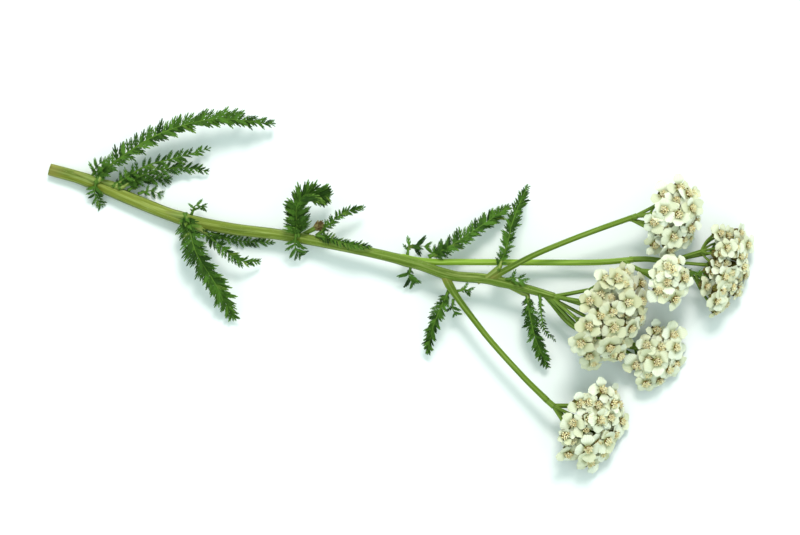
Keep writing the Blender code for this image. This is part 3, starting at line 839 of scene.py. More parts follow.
# %% Stem, branch, sheath, stalk and rib skins
stem_skin = stem_look(
    "stem_skin", ribs=7, low=(120, 128, 40), high=(88, 116, 30),
    pale=(166, 178, 100), deep=(74, 92, 16), browned=0.45,
)
branch_skin = stem_look(
    "branch_skin", ribs=6, low=(86, 110, 28), high=(94, 118, 28),
    pale=(142, 162, 80), deep=(66, 90, 14), browned=0.5,
)
pale_branch_skin = stem_look(
    "pale_branch_skin", ribs=6, low=(130, 162, 46), high=(110, 138, 46),
    pale=(182, 204, 108), deep=(102, 132, 30), turns=(0.03, 0.057),
)
sheath_skin = stem_look(
    "sheath_skin", ribs=3, low=(134, 148, 68), high=(120, 138, 56),
    pale=(174, 184, 112), deep=(98, 116, 40), browned=0.3,
)
stalk_skin = stem_look(
    "stalk_skin", ribs=5, low=(102, 130, 38), high=(110, 138, 46),
    pale=(160, 180, 96), deep=(80, 104, 26),
)
rib_skin = stem_look(
    "rib_skin", ribs=2, low=(72, 108, 22), high=(78, 114, 26),
    pale=(122, 154, 66), deep=(50, 80, 12),
)
print("stem_skin has", len(stem_skin.node_tree.nodes), "nodes")

# %% [markdown]
# ## Cut end
#
# Where the stem was cut, its pale pith shows, with a thin brown rim that has dried. A flat
# cream disc would look painted on. Fine noise stands for the cells of the pith, and the
# distance from the middle of the disc's UV makes the rim.

# %% Pith
def cut_look():
    """Pale cells with a dried rim."""
    look = Look("cut_pith")
    where, _, _, _ = look.coordinates("Object")
    _, across, along, _ = look.coordinates("UV")
    cells = look.noise(where, 4200.0, 2.0)
    aside = across - 0.5
    up = along - 0.5
    outward = (aside * aside + up * up) * 4.0
    colour = look.blend((196, 200, 150), (150, 152, 96), cells.step(0.4, 0.65))
    colour = look.blend(colour, (112, 84, 44), outward.step(0.6, 0.95) * 0.9)
    return look.done(Base_Color=colour, Roughness=0.85, Normal=look.bump(cells, 0.0001))


cut_pith = cut_look()
print("cut_pith has", len(cut_pith.node_tree.nodes), "nodes")

# %% [markdown]
# ## Leaf green
#
# The fronds are a deep green that shifts from leaflet to leaflet, with a painted highlight
# on the tips of some leaflets, and now and then one that has yellowed. Each leaflet carries
# a number of its own, and each lobe's tip is marked, so the colour follows the leaf and not
# the space that it stands in. There is little gloss, because fine hairs dull it.

# %% Leaves
def leaf_look():
    """Deep green, different from leaflet to leaflet, with a painted highlight at the tips."""
    look = Look("leaf")
    where, _, _, _ = look.coordinates("Object")
    own = look.attribute("own")
    edge = look.attribute("edge")
    patches = look.noise(where, 420.0)
    fine = look.noise(where, 3800.0, 2.0)
    colour = look.blend((26, 50, 11), (82, 122, 38), own * 0.85 + (patches - 0.42) * 0.9)
    colour = look.blend(colour, (20, 42, 8), patches.step(0.52, 0.7) * 0.6)
    # Painted highlight on the lobe tips of some leaflets.
    colour = look.blend(colour, (128, 160, 72), edge.step(0.3, 1.0) * (own * 0.75 - 0.15))
    colour = look.blend(colour, (120, 124, 56), (own - 0.95).step(0.0, 0.04) * 0.35)
    return look.done(
        Base_Color=colour, Roughness=0.6 + fine * 0.15, Specular_IOR_Level=0.12,
        Normal=look.bump(fine, 0.00008),
    )


leaf_skin = leaf_look()
print("leaf has", len(leaf_skin.node_tree.nodes), "nodes")

# %% [markdown]
# ## Hairs
#
# The hairs of the stem are far thinner than a pixel from straight above, and they still
# catch the light along the stem's edge. A pattern on something so thin would never be
# seen, so they get one pale green, rough and with almost no gloss.

# %% Hair
PALE_HAIR = (176, 190, 130)


def hair_look():
    """Pale green and dull."""
    look = Look("hair")
    return look.done(Base_Color=(*linear(PALE_HAIR), 1.0), Roughness=0.6, Specular_IOR_Level=0.1)


hair_skin = hair_look()
print("hair colour, linear:", [round(part, 3) for part in linear(PALE_HAIR)])

# %% [markdown]
# ## Petals
#
# A ray is thin enough to let light through. A translucent shader would do that too, but it
# is noisy, so this one has a little subsurface scattering, as a plain number. The colour is
# ivory with a touch of green, with painted shade at the claw, where the rays overlap and
# meet the disc, and deeper along faint veins. How far a cluster has faded turns its rays
# towards buff, as they fade on the real plant, and darkens them as painted shade too.

# %% Petal finish
def petal_look():
    """Ivory with veins, with painted shade at the claw, and buff where faded, darkened by painted shade
    too.
    """
    look = Look("petal")
    where, _, _, _ = look.coordinates("Object")
    _, across, along, _ = look.coordinates("UV")
    own = look.attribute("own")
    fade_and_shade = look.attribute("fade_and_shade")
    veins = (across * 44.0).sine().step(0.2, 1.0)
    patches = look.noise(where, 700.0)
    fine = look.noise(where, 5200.0, 2.0)
    colour = look.blend((242, 243, 222), (222, 221, 184), own + (patches - 0.5) * 0.6)
    # Buff where the rays have faded, and darker: painted shade as well as fading.
    colour = look.blend(colour, (188, 180, 128), fade_and_shade * (0.55 + own * 0.45))
    # Painted shade at the claw, where the rays overlap and meet the disc.
    colour = look.blend(colour, (146, 146, 82), (1.0 - along).step(0.45, 1.0) * 0.85)
    colour = look.blend(colour, (196, 204, 166), veins * (1.0 - along * 0.6) * 0.45)
    colour = look.blend(colour, (196, 178, 126), along.step(0.9, 1.0) * patches.step(0.5, 0.7) * 0.5)
    return look.done(
        Base_Color=colour, Roughness=0.62 + fine * 0.12, Specular_IOR_Level=0.2,
        Normal=look.bump(veins * 0.7 + fine * 0.4, 0.00005),
        Subsurface_Weight=0.15, Subsurface_Scale=0.0008, Subsurface_Radius=(1.0, 1.0, 0.8),
    )


petal_skin = petal_look()
print("petal has", len(petal_skin.node_tree.nodes), "nodes")

# %% [markdown]
# ## Florets, bracts and bud
#
# The disc florets are cream, and their anthers have turned brown: each model marks its own
# anthers with a number, so one material paints both. Bracts are the small scales round the
# cup, olive with a paler keel and thin brown margins, which their UV gives. The bud is the
# same scale, dried to brown and straw.

# %% Floret finish
def floret_look():
    """Cream lobes round brown anthers."""
    look = Look("floret")
    where, _, _, _ = look.coordinates("Object")
    own = look.attribute("own")
    tone = look.attribute("tone")
    patches = look.noise(where, 1500.0)
    colour = look.blend((248, 240, 204), (232, 212, 152), own * 0.9 + (patches - 0.5) * 0.6)
    colour = look.blend(colour, (212, 212, 156), (0.18 - own).step(0.0, 0.1) * 0.6)
    colour = look.blend(colour, (124, 80, 34), tone.step(0.5, 0.95) * (own * 1.9 - 0.65))
    return look.done(
        Base_Color=colour, Roughness=0.7, Specular_IOR_Level=0.15, Normal=look.bump(patches, 0.00006),
    )


floret_skin = floret_look()
print("floret has", len(floret_skin.node_tree.nodes), "nodes")

# %% Bract and bud finishes
def bract_look():
    """Olive with a pale keel and brown margins."""
    look = Look("bract")
    where, _, _, _ = look.coordinates("Object")
    _, across, along, _ = look.coordinates("UV")
    own = look.attribute("own")
    patches = look.noise(where, 900.0)
    rim = (across - 0.5).absolute() * 2.0
    tip = along.step(0.72, 0.98)
    colour = look.blend((116, 112, 46), (86, 78, 30), own * 0.7 + (patches - 0.5) * 0.8)
    colour = look.blend(colour, (146, 144, 78), (0.35 - rim).step(0.0, 0.3) * 0.5)
    colour = look.blend(colour, (98, 64, 26), (rim.step(0.6, 0.95) + tip * 0.8) * 0.8)
    return look.done(
        Base_Color=colour, Roughness=0.62, Specular_IOR_Level=0.15, Normal=look.bump(patches, 0.0001),
    )


def bud_look():
    """Dried scales, from dark brown to straw."""
    look = Look("bud")
    where, _, _, _ = look.coordinates("Object")
    own = look.attribute("own")
    patches = look.noise(where, 1400.0, 4.0)
    colour = look.blend((84, 54, 34), (156, 142, 90), own * 1.2 + (patches - 0.6) * 0.9)
    return look.done(
        Base_Color=colour, Roughness=0.75, Specular_IOR_Level=0.15, Normal=look.bump(patches, 0.0002),
    )


bract_skin = bract_look()
bud_skin = bud_look()
print("materials:", ", ".join(sorted(material.name for material in bpy.data.materials)))

# %% [markdown]
# ## Keeping small models
#
# A head has about forty small parts, and only a few different ones. Each different part is
# made once, in millimetres or in shares of its own length, and kept in a collection that
# the geometry rules can pick from at random. A few versions of each are enough to hide the
# repetition. The collections are removed at the end.

# %% Collections of models
RIM_ANGLE = math.radians(50)


def store(name):
    """A collection for the models of a repeated piece."""
    made = bpy.data.collections.new(name)
    bpy.context.scene.collection.children.link(made)
    return made


def model(name, bm, home):
    """A model in its collection, smooth except at its rims."""
    mesh = bpy.data.meshes.new(name)
    bm.to_mesh(mesh)
    bm.free()
    mesh.shade_smooth()
    mesh.set_sharp_from_angle(angle=RIM_ANGLE)
    made = bpy.data.objects.new(name, mesh)
    home.objects.link(made)
    return made


# %% [markdown]
# ## Thin blades
#
# Petals, bracts and leaflets are thin sheets, and a sheet without thickness has no edge to
# catch the light. A Solidify modifier would give one, but it also runs on every copy. So
# each sheet is closed once, before it is copied: a lower copy, and a wall round the rim.

# %% Closing a sheet
def thickened(bm, thickness):
    """Closes a flat sheet into a blade: a lower copy of it, and a wall round the rim."""
    uv = bm.loops.layers.uv.active
    upper = list(bm.faces)
    for face in upper:
        face.normal_update()
        if face.normal.z < 0:
            face.normal_flip()
    copy = bmesh.ops.duplicate(bm, geom=list(bm.verts) + list(bm.edges) + upper)
    twin = copy["vert_map"]
    lower = [piece for piece in copy["geom"] if isinstance(piece, bmesh.types.BMFace)]
    low_verts = [piece for piece in copy["geom"] if isinstance(piece, bmesh.types.BMVert)]
    for vert in low_verts:
        vert.co.z -= thickness
    for face in lower:
        face.normal_flip()
    for face in upper:
        for loop in list(face.loops):
            if len(loop.edge.link_faces) == 1:
                a, b = loop.vert, loop.link_loop_next.vert
                wall = bm.faces.new((b, a, twin[a], twin[b]))
                if uv:
                    for corner in wall.loops:
                        corner[uv].uv = loop[uv].uv

# %% Blades from a formula
def sheet_model(name, home, place, columns, rows, thickness):
    """A thin blade from place(u, v) in mm, u from -1 to 1 across and v from 0 to 1 along."""
    bm = bmesh.new()
    uv = bm.loops.layers.uv.verify()
    grid = []
    for j in range(rows + 1):
        line = []
        for i in range(columns + 1):
            u = 2 * i / columns - 1
            v = j / rows
            line.append((bm.verts.new(Vector(place(u, v)) * MM), ((u + 1) / 2, v)))
        grid.append(line)
    for j in range(rows):
        for i in range(columns):
            corners = [grid[j][i], grid[j][i + 1], grid[j + 1][i + 1], grid[j + 1][i]]
            face = bm.faces.new([corner[0] for corner in corners])
            for loop, corner in zip(face.loops, corners):
                loop[uv].uv = corner[1]
    thickened(bm, thickness * MM)
    return model(name, bm, home)


def smoothstep(low, high, value):
    """0 below low, 1 above high and a smooth rise between."""
    share = min(max((value - low) / (high - low), 0.0), 1.0)
    return share * share * (3 - 2 * share)

# %% [markdown]
# ## Rays
#
# What looks like one petal of a yarrow head is a whole ray floret: a broad blade, nearly as
# wide as it is long, with three blunt teeth at its end and two shallow grooves. A formula
# over across and along draws it better than a traced outline would, because its few
# numbers can be drawn anew for each version: droop, curl, twist, width, teeth and skew.

# %% Open rays
PETAL_LENGTH = 2.7
PETAL_HALF_WIDTH = 1.48
PETAL_VERSIONS = 6
PETAL_THICKNESS = 0.06
GROOVE_PLACE = 0.36
GROOVE_WIDTH = 0.13
GROOVE_DEPTH = 0.09


def teeth(u):
    """0 at three teeth and 1 in the two notches between them."""
    return 1 - abs(math.cos(1.5 * math.pi * u))


def petal_models():
    """Broad rays with three blunt teeth and two grooves, each a little different."""
    home = store("petals")
    draw = random.Random(5)
    for k in range(PETAL_VERSIONS):
        droop = draw.uniform(0.1, 0.9)
        curl = draw.uniform(-0.5, 0.9)
        twist = draw.uniform(-0.3, 0.3)
        width = PETAL_HALF_WIDTH * draw.uniform(0.88, 1.08)
        tooth = draw.uniform(0.04, 0.12)
        skew = draw.uniform(-0.12, 0.12)

        def place(u, v):
            tip = 1 - tooth * teeth(u) - 0.13 * u ** 4 - 0.06 * u * u + skew * u
            widening = 0.3 + 0.7 * smoothstep(0.0, 0.5, v)
            narrowing = 1 - 0.3 * smoothstep(0.75, 1.0, v)
            across_groove = math.exp(-((abs(u) - GROOVE_PLACE) / GROOVE_WIDTH) ** 2)
            groove = GROOVE_DEPTH * across_groove * smoothstep(0.1, 0.5, v)
            x = PETAL_LENGTH * v * (1 - (1 - tip) * v)
            y = width * widening * narrowing * u
            z = 0.4 * v - droop * v * v - 0.4 * curl * u * u * v - groove + twist * u * v
            return (x, y, z)

        sheet_model(f"petal_{k}", home, place, 8, 4, PETAL_THICKNESS)
    return home


petal_home = petal_models()

# %% Young rays
YOUNG_LENGTH = 1.75
YOUNG_HALF_WIDTH = 0.95
YOUNG_VERSIONS = 4
YOUNG_THICKNESS = 0.09


def young_petal_models():
    """Smaller rays, still cupped, of heads that are only opening."""
    home = store("young_petals")
    draw = random.Random(6)
    for k in range(YOUNG_VERSIONS):
        cup = draw.uniform(0.5, 0.9)

        def place(u, v):
            widening = 0.35 + 0.65 * smoothstep(0.0, 0.6, v)
            narrowing = 1 - 0.35 * smoothstep(0.7, 1.0, v)
            tip = 1 - 0.08 * teeth(u) - 0.22 * u * u
            x = YOUNG_LENGTH * v * tip
            y = YOUNG_HALF_WIDTH * widening * narrowing * u
            z = 0.75 * v - cup * 0.5 * v * v + 0.35 * u * u * v
            return (x, y, z)

        sheet_model(f"young_petal_{k}", home, place, 6, 4, YOUNG_THICKNESS)
    return home


young_petal_home = young_petal_models()

# %% [markdown]
# ## Disc florets
#
# The middle of a head is a tuft of tiny trumpets. Each open one has five lobes round a rod
# of brown anthers, and each closed one is a small bean. They are about a millimetre wide
# and there are nearly two thousand, so they are drawn with a few dozen faces and no more.
# A vertex attribute says what is brown.

# %% Rings of points
def level_ring(bm, count, radius, height):
    """A level ring of new points round the model's axis, in mm."""
    angles = [math.tau * i / count for i in range(count)]
    return [bm.verts.new(Vector((radius * math.cos(a), radius * math.sin(a), height)) * MM) for a in angles]


def tube_wall(bm, low, high):
    """The faces between two rings of as many points."""
    for i in range(len(low)):
        j = (i + 1) % len(low)
        bm.faces.new((low[i], low[j], high[j], high[i]))


def pointed_top(bm, rim, top):
    """The faces from a ring up to one point."""
    for i in range(len(rim)):
        bm.faces.new((rim[i], rim[(i + 1) % len(rim)], top))

# %% Open florets
LOBES = 5
ANTHER_SIDES = 5
FLORET_VERSIONS = 4


def trumpet(bm, draw):
    """A floret's tube with five spread lobes."""
    low = level_ring(bm, 2 * LOBES, 0.1, -0.3)
    throat = level_ring(bm, 2 * LOBES, 0.19, 0.34)
    lobes = []
    for i in range(LOBES):
        angle = math.tau * i / LOBES
        reach = draw.uniform(0.4, 0.5)
        lift = draw.uniform(0.25, 0.45)
        lobes.append(bm.verts.new(Vector((reach * math.cos(angle), reach * math.sin(angle), lift)) * MM))
    tube_wall(bm, low, throat)
    for i in range(LOBES):
        bm.faces.new((throat[2 * i - 1], throat[2 * i], lobes[i]))
        bm.faces.new((throat[2 * i], throat[2 * i + 1], lobes[i]))


def floret_models():
    """Open disc florets: five lobes round brown anthers."""
    home = store("florets")
    draw = random.Random(8)
    for k in range(FLORET_VERSIONS):
        bm = bmesh.new()
        tone = bm.verts.layers.float.new("tone")
        trumpet(bm, draw)
        rod = draw.uniform(0.45, 0.7)
        base = level_ring(bm, ANTHER_SIDES, 0.07, 0.2)
        knob = level_ring(bm, ANTHER_SIDES, 0.1, rod)
        top = bm.verts.new(Vector((0, 0, rod + 0.1)) * MM)
        tube_wall(bm, base, knob)
        pointed_top(bm, knob, top)
        for vert in knob + [top]:
            vert[tone] = 1.0
        model(f"floret_{k}", bm, home)
    return home


floret_home = floret_models()

# %% Closed florets
CLOSED_PROFILE = [(0.12, -0.3), (0.2, 0.0), (0.22, 0.22), (0.14, 0.4)]
CLOSED_SIDES = 7


def closed_floret_models():
    """Closed disc florets: a small bean, and a taller one that begins to turn brown."""
    home = store("closed_florets")
    for k in range(2):
        bm = bmesh.new()
        tone = bm.verts.layers.float.new("tone")
        taller = 0.05 * k
        rings = [level_ring(bm, CLOSED_SIDES, radius, height + taller) for radius, height in CLOSED_PROFILE]
        top = bm.verts.new(Vector((0, 0, 0.45 + taller)) * MM)
        top[tone] = 0.5 * k
        for low, high in zip(rings, rings[1:]):
            tube_wall(bm, low, high)
        pointed_top(bm, rings[-1], top)
        model(f"closed_floret_{k}", bm, home)
    return home


closed_floret_home = closed_floret_models()

# %% [markdown]
# ## Bracts
#
# The cup under each head is covered in overlapping scales, as on a fir cone. They are seen
# where a cluster turns its side to the viewer. Each is an oval sheet, hollowed so that it
# lies against the round cup.

# %% Bract models
BRACT_VERSIONS = 3
BRACT_LENGTH = 1.5
BRACT_THICKNESS = 0.07


def bract_models():
    """Ovate scales of the cup, hollowed to lie against it."""
    home = store("bracts")
    draw = random.Random(9)
    for k in range(BRACT_VERSIONS):
        slim = draw.uniform(0.85, 1.1)

        def place(u, v):
            half = 0.48 * slim * math.sin(math.pi * min(0.96, 0.22 + 0.76 * v)) + 0.03
            height = 0.12 * math.sin(math.pi * v) - 0.16 * u * u + 0.1 * v * v
            return (BRACT_LENGTH * v, half * u, height)

        sheet_model(f"bract_{k}", home, place, 4, 3, BRACT_THICKNESS)
    return home


bract_home = bract_models()

# %% [markdown]
# ## Leaflets
#
# A leaflet is itself cut: a slender strip with two or three lobes on each side that lean
# well forwards. A sheet with a formula can't have slits, so this one is built face by face:
# the strip first, then a lobe on every second stretch of its edge. It is one unit long, and
# the rule that places it gives it its size. The tips are marked, for a painted highlight.

# %% One leaflet
LEAFLET_VERSIONS = 6
STRIP_LENGTH = 0.78
STRIP_HALF = 0.105
STRIP_TAPER = 0.045
LEAFLET_THICKNESS = 0.05


def leaflet_strip(place, cuts):
    """The points of both edges of the strip, from its foot to where its point begins."""
    left = []
    right = []
    for i in range(cuts + 1):
        x = STRIP_LENGTH * i / cuts
        half = STRIP_HALF - STRIP_TAPER * i / cuts
        left.append(place(x, half))
        right.append(place(x, -half))
    return left, right


def add_lobe(bm, place, edge, foot, x, side, long, ahead):
    """A lobe on one stretch of the strip's edge, leaning forwards to a marked tip."""
    inner = place(x + 0.4 * ahead, side * (0.095 + 0.7 * long))
    outer = place(x + 0.09 + 0.55 * ahead, side * (0.075 + 0.4 * long))
    tip = place(x + 0.05 + ahead, side * (0.08 + long))
    # Marks the tip for a painted highlight.
    tip[edge] = 1.0
    for face in ((foot[0], inner, outer, foot[1]), (inner, tip, outer)):
        bm.faces.new(face if side < 0 else face[::-1])

# %% Leaflet models
def leaflet_models():
    """Slender leaflets one unit long, with narrow lobes that lean well forwards."""
    home = store("leaflets")
    draw = random.Random(12)
    for k in range(LEAFLET_VERSIONS):
        bm = bmesh.new()
        edge = bm.verts.layers.float.new("edge")
        lobes = draw.choice((2, 3, 3))
        cuts = 2 * lobes + 1

        def place(x, y):
            bend = 0.1 * math.sin(k * 1.7) * x * x
            return bm.verts.new(Vector((x, y + bend, 0.25 * abs(y) - 0.2 * x * x)) * MM)

        left, right = leaflet_strip(place, cuts)
        for i in range(cuts):
            bm.faces.new((right[i], right[i + 1], left[i + 1], left[i]))
        point = [place(0.95, -0.045), place(1.0, 0.0), place(0.95, 0.045)]
        # The point is marked for a painted highlight.
        for vert in point:
            vert[edge] = 1.0
        bm.faces.new((right[-1], *point, left[-1]))
        for line, side in ((left, 1), (right, -1)):
            for n in range(lobes):
                i = 2 * n + 1
                long = (0.15 - 0.035 * n) * draw.uniform(0.7, 1.15)
                ahead = 0.24 + long * draw.uniform(0.5, 0.9)
                add_lobe(bm, place, edge, line[i:i + 2], STRIP_LENGTH * i / cuts, side, long, ahead)
        thickened(bm, LEAFLET_THICKNESS * MM)
        model(f"leaflet_{k}", bm, home)
    return home


leaflet_home = leaflet_models()

# %% [markdown]
# ## A rule that scatters
#
# Copying thousands of small models by script is slow and makes thousands of objects.
# Geometry Nodes does it at once: a point cloud says where, and each point carries its own
# turn and size as attributes. The rule picks a version of the model at random, gives it a
# small shake and a material, and ends by making the copies real, because an export keeps
# only real meshes. The seed is an input, so the same numbers come out on every run.

# %% A geometry rule under construction
class Rule(Wiring):
    """A geometry node group with named inputs."""

    def __init__(self, name, inputs):
        self.group = bpy.data.node_groups.new(name, "GeometryNodeTree")
        super().__init__(self.group)
        self.group.interface.new_socket("Geometry", in_out="INPUT", socket_type="NodeSocketGeometry")
        for label, kind in inputs.items():
            self.group.interface.new_socket(label, in_out="INPUT", socket_type=kind)
        self.group.interface.new_socket("Geometry", in_out="OUTPUT", socket_type="NodeSocketGeometry")
        self.inputs = self.node("NodeGroupInput", {}, {})

    def given(self, label):
        """One of the rule's own inputs."""
        return self.inputs.beside(label)

    def named(self, name, kind):
        """An attribute that each point carries."""
        made = self.node("GeometryNodeInputNamedAttribute", dict(data_type=kind), {"Name": name})
        outputs = made.socket.node.outputs
        return Value(self, next(out for out in outputs if out.enabled and out.name == "Attribute"))

    def shake(self, low, high):
        """A random vector between two others, from the rule's seed."""
        settings = dict(data_type="FLOAT_VECTOR")
        return self.node("FunctionNodeRandomValue", settings, {0: low, 1: high, "Seed": self.given("Seed")})

    def done(self, copies, turn):
        """Turns the copies, makes them real, paints them and ends the rule."""
        turned = self.node("GeometryNodeRotateInstances", {}, {"Instances": copies, "Rotation": turn})
        real = self.node("GeometryNodeRealizeInstances", {}, {"Geometry": turned})
        paint = {"Geometry": real, "Material": self.given("Material")}
        painted = self.node("GeometryNodeSetMaterial", {}, paint)
        out = self.group.nodes.new("NodeGroupOutput")
        self.group.links.new(painted.socket, out.inputs[0])
        return self.group

# %% Scatter rule
MOST_VERSIONS = 99


def scatter_rule():
    """Puts a random piece on each point, turned and sized as the point's attributes say."""
    rule = Rule("scatter", {
        "Pieces": "NodeSocketCollection", "Seed": "NodeSocketInt",
        "Wobble": "NodeSocketFloat", "Material": "NodeSocketMaterial",
    })
    pieces = rule.node("GeometryNodeCollectionInfo", {}, {
        "Collection": rule.given("Pieces"), "Separate Children": True, "Reset Children": True,
    })
    pick = rule.node(
        "FunctionNodeRandomValue", dict(data_type="INT"),
        {5: MOST_VERSIONS, "Seed": rule.given("Seed")}, 2,
    )
    turn = rule.node("FunctionNodeEulerToRotation", {}, {0: rule.named("turn", "FLOAT_VECTOR")})
    copies = rule.node("GeometryNodeInstanceOnPoints", {}, {
        "Points": rule.given("Geometry"), "Instance": pieces, "Pick Instance": True,
        "Instance Index": pick, "Rotation": turn, "Scale": rule.named("size", "FLOAT_VECTOR"),
    })
    wobble = rule.given("Wobble")
    back = wobble * -1.0
    least = rule.node("ShaderNodeCombineXYZ", {}, {axis: back for axis in range(3)})
    most = rule.node("ShaderNodeCombineXYZ", {}, {axis: wobble for axis in range(3)})
    return rule.done(copies, rule.shake(least, most))


scatter = scatter_rule()
print("scatter has", len(scatter.nodes), "nodes")

# %% [markdown]
# ## A rule that grows hairs
#
# A yarrow stem is finely hairy, which softens its edge against the light. Blender has a
# hair system, but its strands are no mesh, and an export would drop them. So each hair is
# a three-sided cone without a base, three faces in all. The rule scatters points over the
# surface at a given density, and each hair leans at random and has its own length.

# %% Hair rule
HAIR_LENGTHS = (0.5, 1.3)
HAIR_LEAN = 1.0


def hair_rule():
    """Fine hairs over a surface, standing out and leaning at random."""
    rule = Rule("hairs", {
        "Density": "NodeSocketFloat", "Length": "NodeSocketFloat", "Radius": "NodeSocketFloat",
        "Seed": "NodeSocketInt", "Material": "NodeSocketMaterial",
    })
    spread = rule.node("GeometryNodeDistributePointsOnFaces", {}, {
        "Mesh": rule.given("Geometry"), "Density": rule.given("Density"), "Seed": rule.given("Seed"),
    }, "Points")
    hair = rule.node("GeometryNodeMeshCone", dict(fill_type="NONE"), {
        "Vertices": 3, "Radius Top": 0.0,
        "Radius Bottom": rule.given("Radius"), "Depth": rule.given("Length"),
    }, "Mesh")
    length = rule.node(
        "FunctionNodeRandomValue", dict(data_type="FLOAT"),
        {2: HAIR_LENGTHS[0], 3: HAIR_LENGTHS[1], "Seed": rule.given("Seed")}, 1,
    )
    copies = rule.node("GeometryNodeInstanceOnPoints", {}, {
        "Points": spread, "Instance": hair, "Rotation": spread.beside("Rotation"), "Scale": length,
    })
    return rule.done(copies, rule.shake((-HAIR_LEAN,) * 3, (HAIR_LEAN,) * 3))


hairs = hair_rule()
print("hairs has", len(hairs.nodes), "nodes")

# %% [markdown]
# ## Running a rule
#
# A modifier runs the rule. Its inputs are stored under each socket's identifier, such as
# Socket_2, and not under the name that the user sees, so the name is looked up. The result
# becomes a plain mesh and the modifier is removed, so the mesh needs no rule.

# %% From a rule to a mesh
def run_rule(thing, rule, name, **inputs):
    """A new mesh object of what the rule makes of the object; the object stays."""
    modifier = thing.modifiers.new("rule", "NODES")
    modifier.node_group = rule
    for item in rule.interface.items_tree:
        if item.in_out == "INPUT" and item.name in inputs:
            modifier[item.identifier] = inputs[item.name]
    bpy.context.view_layer.update()
    graph = bpy.context.evaluated_depsgraph_get()
    mesh = bpy.data.meshes.new_from_object(thing.evaluated_get(graph))
    thing.modifiers.remove(modifier)
    mesh.name = name
    for slot in reversed(range(len(mesh.materials))):
        if mesh.materials[slot] is None:
            mesh.materials.pop(index=slot)
    for vert in mesh.vertices:
        vert.co.z = max(vert.co.z, LOWEST * MM)
    mesh.shade_smooth()
    made = bpy.data.objects.new(name, mesh)
    bpy.context.scene.collection.objects.link(made)
    return made

# %% From spots to a mesh of pieces
SPOT_ATTRIBUTES = {"turn": "FLOAT_VECTOR", "size": "FLOAT_VECTOR", "own": "FLOAT", "fade_and_shade": "FLOAT"}


def scattered(name, spots, pieces, surface, seed, wobble, fade_and_shade=0.0):
    """One mesh of a piece on each spot: place in mm, rotation, size and a number of its own."""
    mesh = bpy.data.meshes.new(name + "_spots")
    mesh.from_pydata([metres(spot[0]) for spot in spots], [], [])
    for label, kind in SPOT_ATTRIBUTES.items():
        mesh.attributes.new(label, kind, "POINT")
    turn, size, own, faded_and_shaded = (mesh.attributes[label] for label in SPOT_ATTRIBUTES)
    draw = random.Random(seed)
    for i, (_, rotation, scale) in enumerate(spots):
        turn.data[i].vector = rotation.to_euler("XYZ")
        size.data[i].vector = scale if isinstance(scale, tuple) else (scale, scale, scale)
        own.data[i].value = draw.random()
        # How far the rays have faded, which also darkens them as painted shade.
        faded_and_shaded.data[i].value = fade_and_shade
    holder = bpy.data.objects.new(name + "_spots", mesh)
    bpy.context.scene.collection.objects.link(holder)
    made = run_rule(holder, scatter, name, Pieces=pieces, Seed=seed, Wobble=wobble, Material=surface)
    bpy.data.objects.remove(holder, do_unlink=True)
    return made

# %% [markdown]
# ## Stem
#
# The stem swells a little wherever leaves and branches leave it. A bell curve added to the
# radius at each of those places does that, with no extra points in the table. The cut end
# has a material of its own, so it is seen to be cut and not rounded off.

# %% Main stem
STEM_JOINTS = (-79.0, -55.5, -27.0, 1.0, 11.0, 24.5)
JOINT_SWELL = 0.14
JOINT_LENGTH = 1.6


def bell(distance, length):
    """1 at no distance, falling off to nearly 0 at twice the length."""
    return math.exp(-(distance / length) ** 2)


def main_stem():
    """The ridged stem, swollen a little where leaves and branches leave."""
    bm = bmesh.new()
    stations = smooth_path(STEM_PATH, 14)
    for station in stations:
        for joint in STEM_JOINTS:
            station[3] += JOINT_SWELL * bell(station[0] - joint, JOINT_LENGTH)
    sweep(bm, stations, 60, ridges=7, depth=0.07, cap_slot=1)
    return mesh_object("ribbed_stem", bm, stem_skin, cut_pith)


stem_piece = main_stem()
print("ribbed_stem has", len(stem_piece.data.polygons), "faces")

# %% [markdown]
# ## Side branches
#
# Each branch starts a little inside the stem and is thickest just outside it, like the
# shoulder of a real one. One tube with forks would need its ridges to be led through each
# fork, so the branches are tubes of their own that start inside the stem. The branch to
# the far cluster is a paler green than the others, so it has a skin of its own.

# %% Branches
SHOULDER = 0.3
SHOULDER_PLACE = 1.6
SHOULDER_LENGTH = 1.2


def side_branches():
    """The three branches, joined in one object."""
    branches = []
    for points, skin in zip(BRANCHES[1:], (pale_branch_skin, branch_skin, branch_skin)):
        bm = bmesh.new()
        stations = smooth_path(points, 12)
        for station in stations:
            station[3] += SHOULDER * bell(station[0] - stations[0][0] - SHOULDER_PLACE, SHOULDER_LENGTH)
        sweep(bm, stations, 30, ridges=6, depth=0.1)
        branches.append(mesh_object("branch", bm, skin))
    return joined("side_branches", branches)


branch_piece = side_branches()
print("side_branches has", len(branch_piece.data.polygons), "faces")

# %% [markdown]
# ## Hairs on the stem
#
# Density is given for each square metre, because Blender counts in metres: a million and
# more there is about one hair for each square millimetre. The stem, its branches and their
# hairs all move with the same body, and the two tubes replace the plain stem.

# %% Stem hairs
stem_hairs = run_rule(
    stem_piece, hairs, "stem_hairs",
    Density=1.2e6, Length=0.0007, Radius=0.000012, Seed=3, Material=hair_skin,
)
branch_hairs = run_rule(
    branch_piece, hairs, "branch_hairs",
    Density=1.6e6, Length=0.0006, Radius=0.000011, Seed=4, Material=hair_skin,
)
for piece in (stem_piece, branch_piece, stem_hairs, branch_hairs):
    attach(piece, "root")
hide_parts("stem")
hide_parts("stem")
print("hairs:", (len(stem_hairs.data.polygons) + len(branch_hairs.data.polygons)) // 3)

